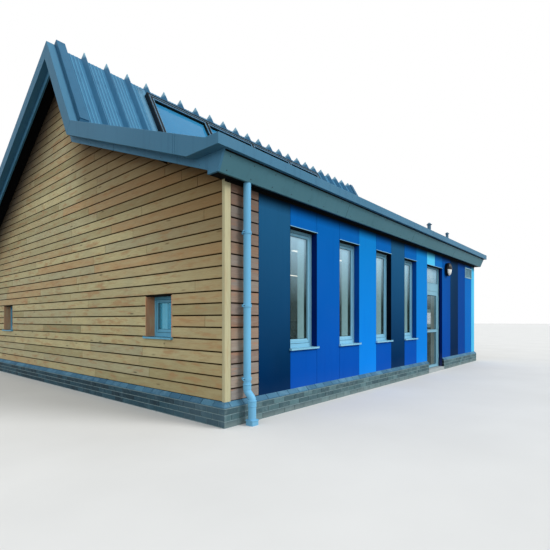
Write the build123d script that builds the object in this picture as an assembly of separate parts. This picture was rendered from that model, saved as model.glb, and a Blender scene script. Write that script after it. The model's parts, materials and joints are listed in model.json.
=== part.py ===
from build123d import *
import os
from math import cos, radians, sin, sqrt, tan

os.makedirs("parts", exist_ok=True)

# One-storey classroom building, in millimetres. The origin is at the middle of the plan, at ground level.
# X runs along the building, Y from the panelled front (low) to the rear (high), and Z is up.

# Plan, over the cladding
LENGTH = 10620
DEPTH = 9300
CLADDING = 50
WALL = 250

# Base: floor, brick plinth and the height at which the walls meet the eaves soffit
FLOOR_TOP = 80
PLINTH_TOP = 300
PLINTH_PROUD = 50
SOFFIT_HEIGHT = 2990
SOFFIT_THICK = 15

# Roof form: flat eaves box, low slope, kink, steep slope, ridge, and one long slope down to the rear
EAVES_BOX_HEIGHT = 362
EAVES_OVER = 280
EAVES_FLAT = 230
LOW_PITCH = 20.6
LOW_RUN = 3550
STEEP_PITCH = 60.5
STEEP_RUN = 1020

# Roof build-up, measured square to each slope from the top of the verge trim
SHEET_DROP = 20
SHEET_THICK = 5
DECK_THICK = 275
BOARD_DROP = 25

# Verges and eaves trims
VERGE_OVER = 350
VERGE_BOX = 125
LOW_BOX_DEPTH = 240
HIGH_BOX_DEPTH = 215
VERGE_BOARD = 30
EAVES_TRIM_HEIGHT = 128
CANT_TOP_INSET = 50
CANT_BOTTOM_INSET = 150
TRIM_WIDTH = 165
CAP_WIDTH = 160
CAP_RISE = 70
CAP_END = 80
FASCIA_JOINT = 4

# Standing ribs of the metal roof
RIB_PITCH = 460
RIB_FIRST = 342
RIB_END_MARGIN = 130
RIB_BASE = 90
RIB_TOP = 18
RIB_HEIGHT = 96

# Rooflight on the steep slope, with its distance from the near and the far gable
ROOFLIGHT_FROM_NEAR = 1615
ROOFLIGHT_FROM_FAR = 2450
ROOFLIGHT_PANES = 4
ROOFLIGHT_LOWER = 300
ROOFLIGHT_UPPER = 280
ROOFLIGHT_BAR = 130
ROOFLIGHT_MULLION = 120
ROOFLIGHT_RISE = 85
ROOFLIGHT_GLASS = 28
GLASS_RECESS = 70

# Front bays from the near corner: name of the bay's finish, or "window", or "door"
FRONT_BAYS = ("navy", "window", "royal", "window", "bright", "window", "navy", "window", "bright",
              "door", "royal", "navy", "royal", "mid")
POST_WIDTH = 100
TIMBER_RETURN = 597
DOOR_BAY = 1069
END_STRIP = 316.8
PANEL_JOINT = 8

# Tall windows
WINDOW_SILL = 880
WINDOW_BELOW_SOFFIT = 340
WINDOW_REVEAL = 100
FRAME_DEPTH = 70
FRAME_WIDTH = 58
SASH_WIDTH = 46
SASH_STEP = 12
SASH_BOTTOM = 66
GLASS_THICK = 24
SILL_THICK = 28
SILL_PROUD = 38
SILL_EARS = 16

# Small gable windows: centre of one from the front wall, and of the other from the rear wall
GABLE_WINDOW_FROM_FRONT = 1400
GABLE_WINDOW_FROM_REAR = 1420
GABLE_WINDOW_WIDTH = 660
GABLE_WINDOW_SILL = 1050
GABLE_WINDOW_HEIGHT = 600
GABLE_REVEAL = 145

# Entrance door
DOOR_REVEAL = 90
JAMB_WIDTH = 68
JAMB_DEPTH = 80
DOOR_CLEARANCE = 6
LEAF_THICK = 50
LEAF_TOP = 2020
STILE = 112
TOP_RAIL = 100
MIDDLE_RAIL = 72
MIDDLE_RAIL_BOTTOM = 980
BOTTOM_RAIL = 72
TRANSOM_PANEL = 203
FANLIGHT_BAR = 45
HINGE_RADIUS = 10
HINGE_PIN_RADIUS = 4
HINGE_FIT = 0.3
HINGE_KNUCKLE = 50
HINGE_PLATE = 4
HINGE_PLATE_WIDTH = 34
HINGE_HEIGHTS = (300, 1050, 1800)
HANDLE_HEIGHT = 1030
HANDLE_PLATE_WIDTH = 40
HANDLE_PLATE_TALL = 220
HANDLE_PLATE_THICK = 8
HANDLE_NECK = 45
HANDLE_LEVER = 120
HANDLE_BAR = 18

# Rainwater pipe
PIPE_RADIUS = 47
PIPE_FROM_CORNER = 300
PIPE_STANDOFF = 82
PIPE_FOOT_STANDOFF = 168
PIPE_BEND_TOP = 450
PIPE_BEND_BOTTOM = 350
SOCKET_RADIUS = 55
SOCKET_TOP = 320
SHOE_SIDE = 160
SHOE_HEIGHT = 70
BRACKET_HEIGHTS = (560, 1470, 2380)
BRACKET_BAND = 36
BRACKET_RING = 6
BRACKET_STEM = 30

# Wall light
LIGHT_FROM_DOOR = 304
LIGHT_BELOW_SOFFIT = 350
LIGHT_HALF_WIDTH = 125
LIGHT_HALF_HEIGHT = 180
LIGHT_BODY = 80
LIGHT_DOME = 70
LIGHT_DOME_SHARE = 0.62

# Louvred vent at the head of the last full panel
VENT_HEIGHT = 310
VENT_BELOW_SOFFIT = 120
VENT_FRAME = 25
VENT_PROUD = 12
VENT_SLATS = 7
VENT_SLAT_THICK = 8

# Soil vents on the low slope: distance past the middle of the last full pan but one, distance from the
# front wall, radius and height
ROOF_VENTS = ((-90, 1080, 55, 560), (-130, 516, 40, 400))
COWL_RADIUS = 88
COWL_HEIGHT = 60

# Corners and heights worked out from the sizes above
LEFT = -LENGTH / 2
RIGHT = LENGTH / 2
FRONT = -DEPTH / 2
REAR = DEPTH / 2
SHELL = CLADDING + WALL
EAVES_TOP = SOFFIT_HEIGHT + EAVES_BOX_HEIGHT
WINDOW_HEAD = SOFFIT_HEIGHT - WINDOW_BELOW_SOFFIT
VENT_HEAD = SOFFIT_HEIGHT - VENT_BELOW_SOFFIT
DECK_TOP = SHEET_DROP + SHEET_THICK
DECK_UNDERSIDE = DECK_TOP + DECK_THICK
BOARD_BOTTOM = DECK_UNDERSIDE + BOARD_DROP
VERGE_BOARD_OUTER = VERGE_OVER - VERGE_BOX
DECK_OVER = VERGE_BOARD_OUTER - VERGE_BOARD
FLAT_END = FRONT - EAVES_OVER + EAVES_FLAT
KINK = (FLAT_END + LOW_RUN, EAVES_TOP + LOW_RUN * tan(radians(LOW_PITCH)))
RIDGE = (KINK[0] + STEEP_RUN, KINK[1] + STEEP_RUN * tan(radians(STEEP_PITCH)))
REAR_EDGE = REAR + EAVES_OVER
FRONT_EDGE = FRONT - EAVES_OVER
REAR_END = REAR_EDGE - EAVES_FLAT
TRIM_BOTTOM = EAVES_TOP - EAVES_TRIM_HEIGHT
BAY = (LENGTH - TIMBER_RETURN - DOOR_BAY - END_STRIP) / (len(FRONT_BAYS) - 1)
DOOR_LEFT = LEFT + TIMBER_RETURN + FRONT_BAYS.index("door") * BAY
DOOR_RIGHT = DOOR_LEFT + DOOR_BAY
GABLE_WINDOW_CENTRES = (FRONT + GABLE_WINDOW_FROM_FRONT, REAR - GABLE_WINDOW_FROM_REAR)


def sloped(start, slope, drop):
    """A roof line as (slope, height at y = 0), lowered square to itself."""
    return (slope, start[1] - slope * start[0] - drop * sqrt(1 + slope * slope))


def low(drop):
    return sloped(KINK, tan(radians(LOW_PITCH)), drop)


def steep(drop):
    return sloped(KINK, tan(radians(STEEP_PITCH)), drop)


def rear(drop):
    return sloped(RIDGE, (EAVES_TOP - RIDGE[1]) / (REAR_EDGE - RIDGE[0]), drop)


def height(line, y):
    return line[0] * y + line[1]


def at_height(line, z):
    return ((z - line[1]) / line[0], z)


def meet(first, second):
    y = (second[1] - first[1]) / (first[0] - second[0])
    return (y, height(first, y))


def along(point, line, distance):
    """A point moved up or down its slope by a distance."""
    run = distance / sqrt(1 + line[0] * line[0])
    return (point[0] + run, point[1] + run * line[0])


def outward(point, line, distance):
    """A point moved away from the roof, square to its slope."""
    reach = distance / sqrt(1 + line[0] * line[0])
    return (point[0] - reach * line[0], point[1] + reach)


def prism(points, start, end):
    """An outline in the Y-Z plane, carried along X from start to end."""
    outline = make_face(Polyline(*[(start, y, z) for y, z in points], close=True))
    return extrude(outline, end - start, dir=(1, 0, 0))


def block(x, y, z):
    """A box from three pairs of limits."""
    size = Box(x[1] - x[0], y[1] - y[0], z[1] - z[0], align=(Align.MIN, Align.MIN, Align.MIN))
    return Pos(x[0], y[0], z[0]) * size


def turned(shape):
    """The same piece on the opposite side of the building."""
    return Rot(0, 0, 180) * shape


def mirrored(shape):
    """The same piece at the far gable."""
    return mirror(shape, about=Plane.YZ)


def save(name, *shapes):
    solids = [solid for shape in shapes for solid in shape.solids()]
    piece = solids[0] if len(solids) == 1 else Compound(solids)
    export_step(piece, f"parts/{name}.step")


# Base

def plinth_ring():
    """Brick upstand all round, with a sloping top course."""
    outer = block((LEFT - PLINTH_PROUD, RIGHT + PLINTH_PROUD), (FRONT - PLINTH_PROUD, REAR + PLINTH_PROUD),
                  (0, PLINTH_TOP))
    outer = chamfer(outer.edges().group_by(Axis.Z)[-1], PLINTH_PROUD)
    inner = block((LEFT + CLADDING, RIGHT - CLADDING), (FRONT + CLADDING, REAR - CLADDING), (0, PLINTH_TOP))
    return outer - inner


def plinth_parts():
    ring = plinth_ring()
    far = LENGTH + PLINTH_PROUD
    front_run = block((-far, far), (FRONT - PLINTH_PROUD, FRONT + CLADDING), (0, PLINTH_TOP))
    rear_run = turned(front_run)
    side_run = block((-far, far), (FRONT + CLADDING, REAR - CLADDING), (0, PLINTH_TOP))
    doorway = block((DOOR_LEFT, DOOR_RIGHT), (FRONT - DEPTH, FRONT + CLADDING), (0, PLINTH_TOP))
    save("plinth_front", ring & front_run - doorway)
    save("plinth_rear", ring & rear_run)
    save("plinth_gables", ring & side_run)


def floor_slab():
    save("floor_slab", block((LEFT + SHELL, RIGHT - SHELL), (FRONT + SHELL, REAR - SHELL), (0, FLOOR_TOP)))


def bays():
    """Each bay with its left and right edges, and the narrow strip that ends the wall."""
    x = LEFT + TIMBER_RETURN
    found = []
    for finish in FRONT_BAYS:
        width = DOOR_BAY if finish == "door" else BAY
        found.append((finish, x, x + width))
        x += width
    found.append(("cyan", x, RIGHT))
    return found


def window_bays():
    return [(start, end) for finish, start, end in bays() if finish == "window"]


# Structural walls

def long_wall(outer, inner, line, bottom, start, end):
    """A wall along X whose sloping top follows the underside of the roof deck."""
    outline = [(outer, bottom), (inner, bottom), (inner, height(line, inner)), (outer, height(line, outer))]
    return prism(outline, start, end)


def opening(x, y, z, sill_y):
    """A window opening through the wall, with the pocket that its sill lies in."""
    return block(x, y, z) + block(x, sill_y, (z[0] - SILL_THICK, z[0]))


def tall_openings():
    through, sill_y = (FRONT, FRONT + SHELL), (FRONT, FRONT + WINDOW_REVEAL + FRAME_DEPTH)
    return [opening((start, end), through, (WINDOW_SILL, WINDOW_HEAD), sill_y) for start, end in window_bays()]


def front_walls():
    outer, inner = FRONT + CLADDING, FRONT + SHELL
    underside = low(DECK_UNDERSIDE)
    left = long_wall(outer, inner, underside, 0, LEFT + CLADDING, DOOR_LEFT) - tall_openings()
    save("front_wall_left", left)
    save("front_wall_right", long_wall(outer, inner, underside, 0, DOOR_RIGHT, RIGHT - CLADDING))
    save("front_wall_head", long_wall(outer, inner, underside, WINDOW_HEAD, DOOR_LEFT, DOOR_RIGHT))


def rear_wall():
    wall = long_wall(REAR - CLADDING, REAR - SHELL, rear(DECK_UNDERSIDE), 0, LEFT + CLADDING, RIGHT - CLADDING)
    save("rear_wall", wall - [turned(hole) for hole in tall_openings()])


def gable_outline(half_depth, bottom):
    """Gable shape under the roof deck, between two upright edges."""
    low_line, steep_line, rear_line = low(DECK_UNDERSIDE), steep(DECK_UNDERSIDE), rear(DECK_UNDERSIDE)
    return [(-half_depth, bottom), (half_depth, bottom), (half_depth, height(rear_line, half_depth)),
            meet(steep_line, rear_line), meet(low_line, steep_line), (-half_depth, height(low_line, -half_depth))]


def gable_openings():
    """Both small windows of the near gable, through the whole wall, each with its sill pocket."""
    bottom, top = GABLE_WINDOW_SILL, GABLE_WINDOW_SILL + GABLE_WINDOW_HEIGHT
    half = GABLE_WINDOW_WIDTH / 2
    holes = []
    for centre in GABLE_WINDOW_CENTRES:
        y = (centre - half, centre + half)
        holes.append(block((LEFT, LEFT + SHELL), y, (bottom, top)))
        holes.append(block((LEFT, LEFT + GABLE_REVEAL + FRAME_DEPTH), y, (bottom - SILL_THICK, bottom)))
    return holes


def gable_walls():
    wall = prism(gable_outline(REAR - SHELL, 0), LEFT + CLADDING, LEFT + SHELL) - gable_openings()
    save("gable_walls", wall, mirrored(wall))


# Cladding

def front_board(start, end, bottom, top):
    return block((start, end), (FRONT, FRONT + CLADDING), (bottom, top))


def front_panels():
    """Coloured panels of the front by finish, each a half joint short of its bay on both sides."""
    half = PANEL_JOINT / 2
    pieces = {"navy": [], "royal": [], "bright": [], "mid": [], "cyan": []}
    for finish, start, end in bays():
        left, right = start + half, end - half
        if finish == "window":
            pieces["royal"].append(front_board(left, right, PLINTH_TOP, WINDOW_SILL - SILL_THICK))
            pieces["royal"].append(front_board(left, right, WINDOW_HEAD, SOFFIT_HEIGHT))
        elif finish == "door":
            middle = (start + end) / 2
            pieces["cyan"].append(front_board(left, middle - half, WINDOW_HEAD, SOFFIT_HEIGHT))
            pieces["mid"].append(front_board(middle + half, right, WINDOW_HEAD, SOFFIT_HEIGHT))
        elif finish == "mid":
            pieces["mid"].append(front_board(left, right, PLINTH_TOP, VENT_HEAD - VENT_HEIGHT))
            pieces["mid"].append(front_board(left, right, VENT_HEAD, SOFFIT_HEIGHT))
        elif finish == "cyan":
            pieces["cyan"].append(front_board(left, end, PLINTH_TOP, SOFFIT_HEIGHT))
        else:
            pieces[finish].append(front_board(left, right, PLINTH_TOP, SOFFIT_HEIGHT))
    return pieces


def rear_panels():
    """The rear repeats the front from its own left, with a full panel where the door would be and no vent."""
    half = PANEL_JOINT / 2
    pieces = {"navy": [], "royal": [], "bright": [], "mid": [], "cyan": []}
    for finish, start, end in bays():
        left, right = start + half, end - half
        if finish == "window":
            pieces["royal"].append(front_board(left, right, PLINTH_TOP, WINDOW_SILL - SILL_THICK))
            pieces["royal"].append(front_board(left, right, WINDOW_HEAD, SOFFIT_HEIGHT))
        elif finish == "cyan":
            pieces["cyan"].append(front_board(left, end, PLINTH_TOP, SOFFIT_HEIGHT))
        else:
            name = "mid" if finish == "door" else finish
            pieces[name].append(front_board(left, right, PLINTH_TOP, SOFFIT_HEIGHT))
    return {name: [turned(piece) for piece in group] for name, group in pieces.items()}


def panels():
    front, back = front_panels(), rear_panels()
    for name in front:
        save(f"{name}_panels", *front[name], *back[name])


def timber():
    """Boarded gables, and the boarded return beside each corner post."""
    gable = prism(gable_outline(REAR - CLADDING, PLINTH_TOP), LEFT, LEFT + CLADDING) - gable_openings()
    half = PANEL_JOINT / 2
    boards = front_board(LEFT + POST_WIDTH, LEFT + TIMBER_RETURN - half, PLINTH_TOP, SOFFIT_HEIGHT)
    post = front_board(LEFT, LEFT + POST_WIDTH, PLINTH_TOP, SOFFIT_HEIGHT)
    save("timber_gables", gable, mirrored(gable))
    save("timber_returns", boards, turned(boards))
    save("corner_posts", post, turned(post))


# Roof

def low_strip(top, bottom, front_end):
    """Section of the low slope between two depths, from an upright front end to the kink."""
    upper, lower = low(top), low(bottom)
    return [(front_end, height(upper, front_end)), meet(upper, steep(top)), meet(lower, steep(bottom)),
            (front_end, height(lower, front_end))]


def steep_strip(top, bottom, gap=0):
    """Section of the steep slope between two depths, mitred at the kink and at the ridge."""
    upper, lower = steep(top), steep(bottom)
    return [along(meet(upper, low(top)), upper, gap), along(meet(upper, rear(top)), upper, -gap),
            along(meet(lower, rear(bottom)), lower, -gap), along(meet(lower, low(bottom)), lower, gap)]


def rear_strip(top, bottom, gap=0):
    """Section of the rear slope between two depths, from the ridge to an upright rear end."""
    upper, lower = rear(top), rear(bottom)
    return [along(meet(upper, steep(top)), upper, gap), (REAR_END, height(upper, REAR_END)),
            (REAR_END, height(lower, REAR_END)), along(meet(lower, steep(bottom)), lower, gap)]


STEEP_LENGTH = STEEP_RUN / cos(radians(STEEP_PITCH))
ON_STEEP = Plane(origin=(0, KINK[0], KINK[1]), x_dir=(1, 0, 0),
                 z_dir=(0, -sin(radians(STEEP_PITCH)), cos(radians(STEEP_PITCH))))
ROOFLIGHT_X = (LEFT + ROOFLIGHT_FROM_NEAR, RIGHT - ROOFLIGHT_FROM_FAR)
ROOFLIGHT_S = (ROOFLIGHT_LOWER, STEEP_LENGTH - ROOFLIGHT_UPPER)


def on_steep(x, s, out):
    """A box on the steep slope: limits along X, up the slope and outwards from the verge trim."""
    return ON_STEEP * block(x, s, out)


def inside_rooflight(inset):
    return ((ROOFLIGHT_X[0] + inset, ROOFLIGHT_X[1] - inset), (ROOFLIGHT_S[0] + inset, ROOFLIGHT_S[1] - inset))


def roof_decks():
    side = RIGHT + DECK_OVER
    save("rear_roof_deck", prism(rear_strip(DECK_TOP, DECK_UNDERSIDE), -side, side))
    save("low_roof_deck", prism(low_strip(DECK_TOP, DECK_UNDERSIDE, FLAT_END), -side, side))
    section = steep_strip(DECK_TOP, DECK_UNDERSIDE)
    hole_x, hole_s = inside_rooflight(ROOFLIGHT_BAR)
    save("steep_roof_deck", prism(section, -side, hole_x[0]), prism(section, hole_x[1], side))
    rails = prism(section, *hole_x) - on_steep(hole_x, hole_s, (-2 * DECK_UNDERSIDE, DECK_UNDERSIDE))
    save("rooflight_trimmers", rails)


def rib_positions():
    count = 1 + int((LENGTH - RIB_FIRST - RIB_END_MARGIN) / RIB_PITCH)
    return [LEFT + RIB_FIRST + index * RIB_PITCH for index in range(count)]


def rib(section, line):
    """One tapered rib at x = 0: its side outline, narrowed towards the top by two sloping cuts."""
    bar = prism(section, -RIB_BASE / 2, RIB_BASE / 2)
    foot = section[3]
    across = Plane(origin=(0, foot[0], foot[1]), x_dir=(1, 0, 0), z_dir=(0, -1, -line[0]))
    waste = Polyline((RIB_BASE / 2, 0), (RIB_TOP / 2, RIB_HEIGHT), (RIB_BASE, RIB_HEIGHT), (RIB_BASE, 0), close=True)
    cut = extrude(make_face(across * waste), 2 * DEPTH, both=True)
    return bar - cut - mirror(cut, about=Plane.YZ)


def roof_sheets():
    """Metal sheet and its standing ribs, one piece on each slope."""
    side = RIGHT + VERGE_BOARD_OUTER
    rib_top = SHEET_DROP - RIB_HEIGHT
    sheet = prism(rear_strip(SHEET_DROP, DECK_TOP), -side, side)
    one = rib(rear_strip(rib_top, SHEET_DROP), rear(0))
    save("rear_roof_sheet", sheet + [Pos(x, 0, 0) * one for x in rib_positions()])

    sheet = prism(low_strip(SHEET_DROP, DECK_TOP, FLAT_END), -side, side)
    one = rib(low_strip(rib_top, SHEET_DROP, FLAT_END), low(0))
    save("low_roof_sheet", sheet + [Pos(x, 0, 0) * one for x in rib_positions()])

    hole_x, hole_s = inside_rooflight(ROOFLIGHT_BAR)
    clear_x, clear_s = inside_rooflight(0)
    depth = (-2 * DECK_TOP, RIB_HEIGHT)
    sheet = prism(steep_strip(SHEET_DROP, DECK_TOP), -side, side) - on_steep(hole_x, hole_s, depth)
    one = rib(steep_strip(rib_top, SHEET_DROP), steep(0))
    short = one - on_steep((-RIB_BASE, RIB_BASE), clear_s, (-SHEET_DROP, RIB_HEIGHT))
    for x in rib_positions():
        in_rooflight = clear_x[0] - RIB_BASE / 2 < x < clear_x[1] + RIB_BASE / 2
        sheet += Pos(x, 0, 0) * (short if in_rooflight else one)
    save("steep_roof_sheet", sheet)


def rooflight():
    """Curb and glazing bars in one frame, and a pane in each bay."""
    out = (-SHEET_DROP, ROOFLIGHT_RISE)
    hole_x, hole_s = inside_rooflight(ROOFLIGHT_BAR)
    frame = on_steep(ROOFLIGHT_X, ROOFLIGHT_S, out) - on_steep(hole_x, hole_s, out)
    pitch = (ROOFLIGHT_X[1] - ROOFLIGHT_X[0]) / ROOFLIGHT_PANES
    mullions = [ROOFLIGHT_X[0] + index * pitch for index in range(1, ROOFLIGHT_PANES)]
    half = ROOFLIGHT_MULLION / 2
    frame += [on_steep((x - half, x + half), hole_s, out) for x in mullions]
    starts = [hole_x[0]] + [x + half for x in mullions]
    ends = [x - half for x in mullions] + [hole_x[1]]
    pane_top = ROOFLIGHT_RISE - GLASS_RECESS
    panes = [on_steep((start, end), hole_s, (pane_top - ROOFLIGHT_GLASS, pane_top))
             for start, end in zip(starts, ends)]
    save("rooflight_frame", frame)
    save("rooflight_glass", *panes)


def verge_fascias():
    """Deep outer box and inset lower board along both verges, each in three lengths with open mitres."""
    gap = FASCIA_JOINT / 2
    low_base, steep_base, rear_base = low(LOW_BOX_DEPTH), steep(HIGH_BOX_DEPTH), rear(HIGH_BOX_DEPTH)
    kink_top, kink_bottom = meet(low(0), steep(0)), meet(low_base, steep_base)
    ridge_top, ridge_bottom = meet(steep(0), rear(0)), meet(steep_base, rear_base)
    low_box = [(FRONT_EDGE, EAVES_TOP), (FLAT_END, EAVES_TOP), along(kink_top, low(0), -gap),
               along(kink_bottom, low(0), -gap), at_height(low_base, TRIM_BOTTOM), (FRONT_EDGE, TRIM_BOTTOM)]
    steep_box = [along(kink_top, steep(0), gap), along(ridge_top, steep(0), -gap),
                 along(ridge_bottom, steep(0), -gap), along(kink_bottom, steep(0), gap)]
    rear_box = [along(ridge_top, rear(0), gap), (REAR_EDGE, EAVES_TOP), (REAR_EDGE, TRIM_BOTTOM),
                at_height(rear_base, TRIM_BOTTOM), along(ridge_bottom, rear(0), gap)]
    outer, inner = LEFT - VERGE_OVER, LEFT - VERGE_BOARD_OUTER
    boxes = [prism(points, outer, inner) for points in (low_box, steep_box, rear_box)]
    save("verge_boxes", *boxes, *[mirrored(box) for box in boxes])

    top, bottom = DECK_TOP, BOARD_BOTTOM
    front_wall, rear_wall_line = FRONT + CLADDING, REAR - CLADDING
    low_board = [(FRONT_EDGE + CANT_BOTTOM_INSET, SOFFIT_HEIGHT), (FRONT_EDGE + CANT_TOP_INSET, TRIM_BOTTOM),
                 (FLAT_END, TRIM_BOTTOM), (FLAT_END, height(low(top), FLAT_END)),
                 along(meet(low(top), steep(top)), low(0), -gap),
                 along(meet(low(bottom), steep(bottom)), low(0), -gap),
                 (front_wall, height(low(bottom), front_wall)), (front_wall, SOFFIT_HEIGHT)]
    rear_board = [along(meet(rear(top), steep(top)), rear(0), gap), (REAR_END, height(rear(top), REAR_END)),
                  (REAR_END, TRIM_BOTTOM), (REAR_EDGE - CANT_TOP_INSET, TRIM_BOTTOM),
                  (REAR_EDGE - CANT_BOTTOM_INSET, SOFFIT_HEIGHT), (rear_wall_line, SOFFIT_HEIGHT),
                  (rear_wall_line, height(rear(bottom), rear_wall_line)),
                  along(meet(rear(bottom), steep(bottom)), rear(0), gap)]
    boards = [prism(points, inner, LEFT - DECK_OVER)
              for points in (low_board, steep_strip(top, bottom, gap), rear_board)]
    save("verge_boards", *boards, *[mirrored(board) for board in boards])


def verge_caps():
    """Flat trim beside the verge boxes, and the raised cap that stops just above the kink."""
    gap = FASCIA_JOINT / 2
    flat = (LEFT - VERGE_BOARD_OUTER, LEFT - VERGE_OVER + TRIM_WIDTH)
    raised = (flat[1], flat[1] + CAP_WIDTH)
    base, top = SHEET_DROP, -CAP_RISE
    low_flat = low_strip(0, base, FLAT_END)
    low_flat[1] = along(low_flat[1], low(0), -gap)
    low_flat[2] = along(low_flat[2], low(0), -gap)
    foot = along(meet(steep(base), low(base)), steep(0), CAP_END)
    steep_raised = [foot, outward(foot, steep(0), base - top), along(meet(steep(top), rear(top)), steep(0), -gap),
                    along(meet(steep(base), rear(base)), steep(0), -gap)]
    steep_cap = prism(steep_strip(0, base, gap), *flat) + prism(steep_raised, *raised)
    rear_cap = prism(rear_strip(0, base, gap), *flat) + prism(rear_strip(top, base, gap), *raised)
    caps = [prism(low_flat, *flat), steep_cap, rear_cap]
    save("verge_caps", *caps, *[mirrored(cap) for cap in caps])


def eaves():
    """Flat-topped eaves box, canted fascia, and level soffit with its upright ends past the gables."""
    side = RIGHT + VERGE_BOARD_OUTER
    front_trim = block((-side, side), (FRONT_EDGE, FLAT_END), (TRIM_BOTTOM, EAVES_TOP))
    rear_trim = prism([(REAR_END, TRIM_BOTTOM), (REAR_EDGE, TRIM_BOTTOM), (REAR_EDGE, EAVES_TOP),
                       (REAR_END, height(rear(0), REAR_END))], -side, side)
    save("eaves_trims", front_trim, rear_trim)

    inner_side = RIGHT + DECK_OVER
    top = (FRONT_EDGE + CANT_TOP_INSET, TRIM_BOTTOM)
    bottom = (FRONT_EDGE + CANT_BOTTOM_INSET, SOFFIT_HEIGHT)
    cant = prism([top, (top[0] + VERGE_BOARD, top[1]), (bottom[0] + VERGE_BOARD, bottom[1]), bottom],
                 -inner_side, inner_side)
    save("eaves_fascias", cant, turned(cant))

    soffit = block((-inner_side, inner_side), (bottom[0] + VERGE_BOARD, FRONT + CLADDING),
                   (SOFFIT_HEIGHT, SOFFIT_HEIGHT + SOFFIT_THICK))
    front_end = long_wall(FRONT, FRONT + CLADDING, low(DECK_UNDERSIDE), SOFFIT_HEIGHT, RIGHT, inner_side)
    rear_end = long_wall(REAR, REAR - CLADDING, rear(DECK_UNDERSIDE), SOFFIT_HEIGHT, RIGHT, inner_side)
    save("eaves_soffits", soffit + front_end + mirrored(front_end), turned(soffit) + rear_end + mirrored(rear_end))


# Windows

def glazed_frame(width, tall, sash_bottom):
    """Frame and sash of one window as one piece, seen from outside, with its pane; the corner is at the origin.

    X is the width, Z is up, and the outside face is at y = 0.
    """
    frame = block((0, width), (0, FRAME_DEPTH), (0, tall))
    inset = FRAME_WIDTH
    frame -= block((inset, width - inset), (0, SASH_STEP), (inset, tall - inset))
    hole = inset + SASH_WIDTH
    pane = ((hole, width - hole), (inset + sash_bottom, tall - hole))
    frame -= block(pane[0], (0, FRAME_DEPTH), pane[1])
    middle = (SASH_STEP + FRAME_DEPTH) / 2
    glass = block(pane[0], (middle - GLASS_THICK / 2, middle + GLASS_THICK / 2), pane[1])
    return frame, glass


def sill(width, depth):
    """Sill under a window whose lower left corner is at the origin, with ears past the reveal outside."""
    plate = block((0, width), (-depth, FRAME_DEPTH), (-SILL_THICK, 0))
    front = block((-SILL_EARS, width + SILL_EARS), (-depth - SILL_PROUD, -depth), (-SILL_THICK, 0))
    return plate + front


def windows():
    width, tall = BAY, WINDOW_HEAD - WINDOW_SILL
    frame, glass = glazed_frame(width, tall, SASH_BOTTOM)
    one_sill = sill(width, WINDOW_REVEAL)
    frames, panes, sills = [], [], []
    for start, end in window_bays():
        place = Pos(start, FRONT + WINDOW_REVEAL, WINDOW_SILL)
        frames += [place * frame, turned(place * frame)]
        panes += [place * glass, turned(place * glass)]
        sills += [place * one_sill, turned(place * one_sill)]
    save("window_frames", *frames)
    save("window_sills", *sills)

    frame, glass = glazed_frame(GABLE_WINDOW_WIDTH, GABLE_WINDOW_HEIGHT, SASH_WIDTH)
    one_sill = sill(GABLE_WINDOW_WIDTH, GABLE_REVEAL)
    frames, sills = [], []
    for y in GABLE_WINDOW_CENTRES:
        place = Pos(LEFT + GABLE_REVEAL, y + GABLE_WINDOW_WIDTH / 2, GABLE_WINDOW_SILL) * Rot(0, 0, -90)
        frames += [place * frame, mirrored(place * frame)]
        panes += [place * glass, mirrored(place * glass)]
        sills += [place * one_sill, mirrored(place * one_sill)]
    save("gable_window_frames", *frames)
    save("gable_window_sills", *sills)
    save("window_glass", *panes)


# Entrance

LEAF_FACE = FRONT + DOOR_REVEAL
LEAF_BOTTOM = FLOOR_TOP + DOOR_CLEARANCE
LEAF_X = (DOOR_LEFT + JAMB_WIDTH + DOOR_CLEARANCE, DOOR_RIGHT - JAMB_WIDTH - DOOR_CLEARANCE)
HINGE_X = LEAF_X[1] + DOOR_CLEARANCE / 2
HINGE_Y = LEAF_FACE - HINGE_RADIUS - 1


def knuckle(bottom, tall):
    return Pos(HINGE_X, HINGE_Y, bottom) * Cylinder(HINGE_RADIUS, tall, align=(Align.CENTER, Align.CENTER, Align.MIN))


def hinge_plate(bottom, tall, side):
    """Flat plate on the face of the jamb (side = 1) or of the leaf (side = -1), joined to its knuckle."""
    reach = sorted((HINGE_X + side * DOOR_CLEARANCE / 2, HINGE_X + side * HINGE_PLATE_WIDTH))
    plate = block(reach, (LEAF_FACE - HINGE_PLATE, LEAF_FACE), (bottom, bottom + tall))
    link = sorted((HINGE_X + side * DOOR_CLEARANCE / 2, HINGE_X + side * HINGE_RADIUS))
    return plate + block(link, (HINGE_Y, LEAF_FACE), (bottom, bottom + tall))


def door_frame():
    """Jambs, head, solid transom panel and fanlight bar, with the fixed halves of the hinges."""
    face = (LEAF_FACE, LEAF_FACE + JAMB_DEPTH)
    frame = block((DOOR_LEFT, DOOR_RIGHT), face, (FLOOR_TOP, WINDOW_HEAD))
    inside = (DOOR_LEFT + JAMB_WIDTH, DOOR_RIGHT - JAMB_WIDTH)
    transom_bottom = LEAF_TOP + DOOR_CLEARANCE
    fanlight = (transom_bottom + TRANSOM_PANEL, WINDOW_HEAD - FANLIGHT_BAR)
    frame -= block(inside, face, (FLOOR_TOP, transom_bottom))
    frame -= block(inside, face, fanlight)
    pin = HINGE_PIN_RADIUS
    for z in HINGE_HEIGHTS:
        frame += knuckle(z, HINGE_KNUCKLE) + hinge_plate(z, HINGE_KNUCKLE, 1)
        frame += Pos(HINGE_X, HINGE_Y, z) * Cylinder(pin, 2 * HINGE_KNUCKLE,
                                                     align=(Align.CENTER, Align.CENTER, Align.MIN))
    save("door_frame", frame)
    middle = LEAF_FACE + JAMB_DEPTH / 2
    glass = block(inside, (middle - GLASS_THICK / 2, middle + GLASS_THICK / 2), fanlight)
    save("fanlight_glass", glass)


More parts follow.
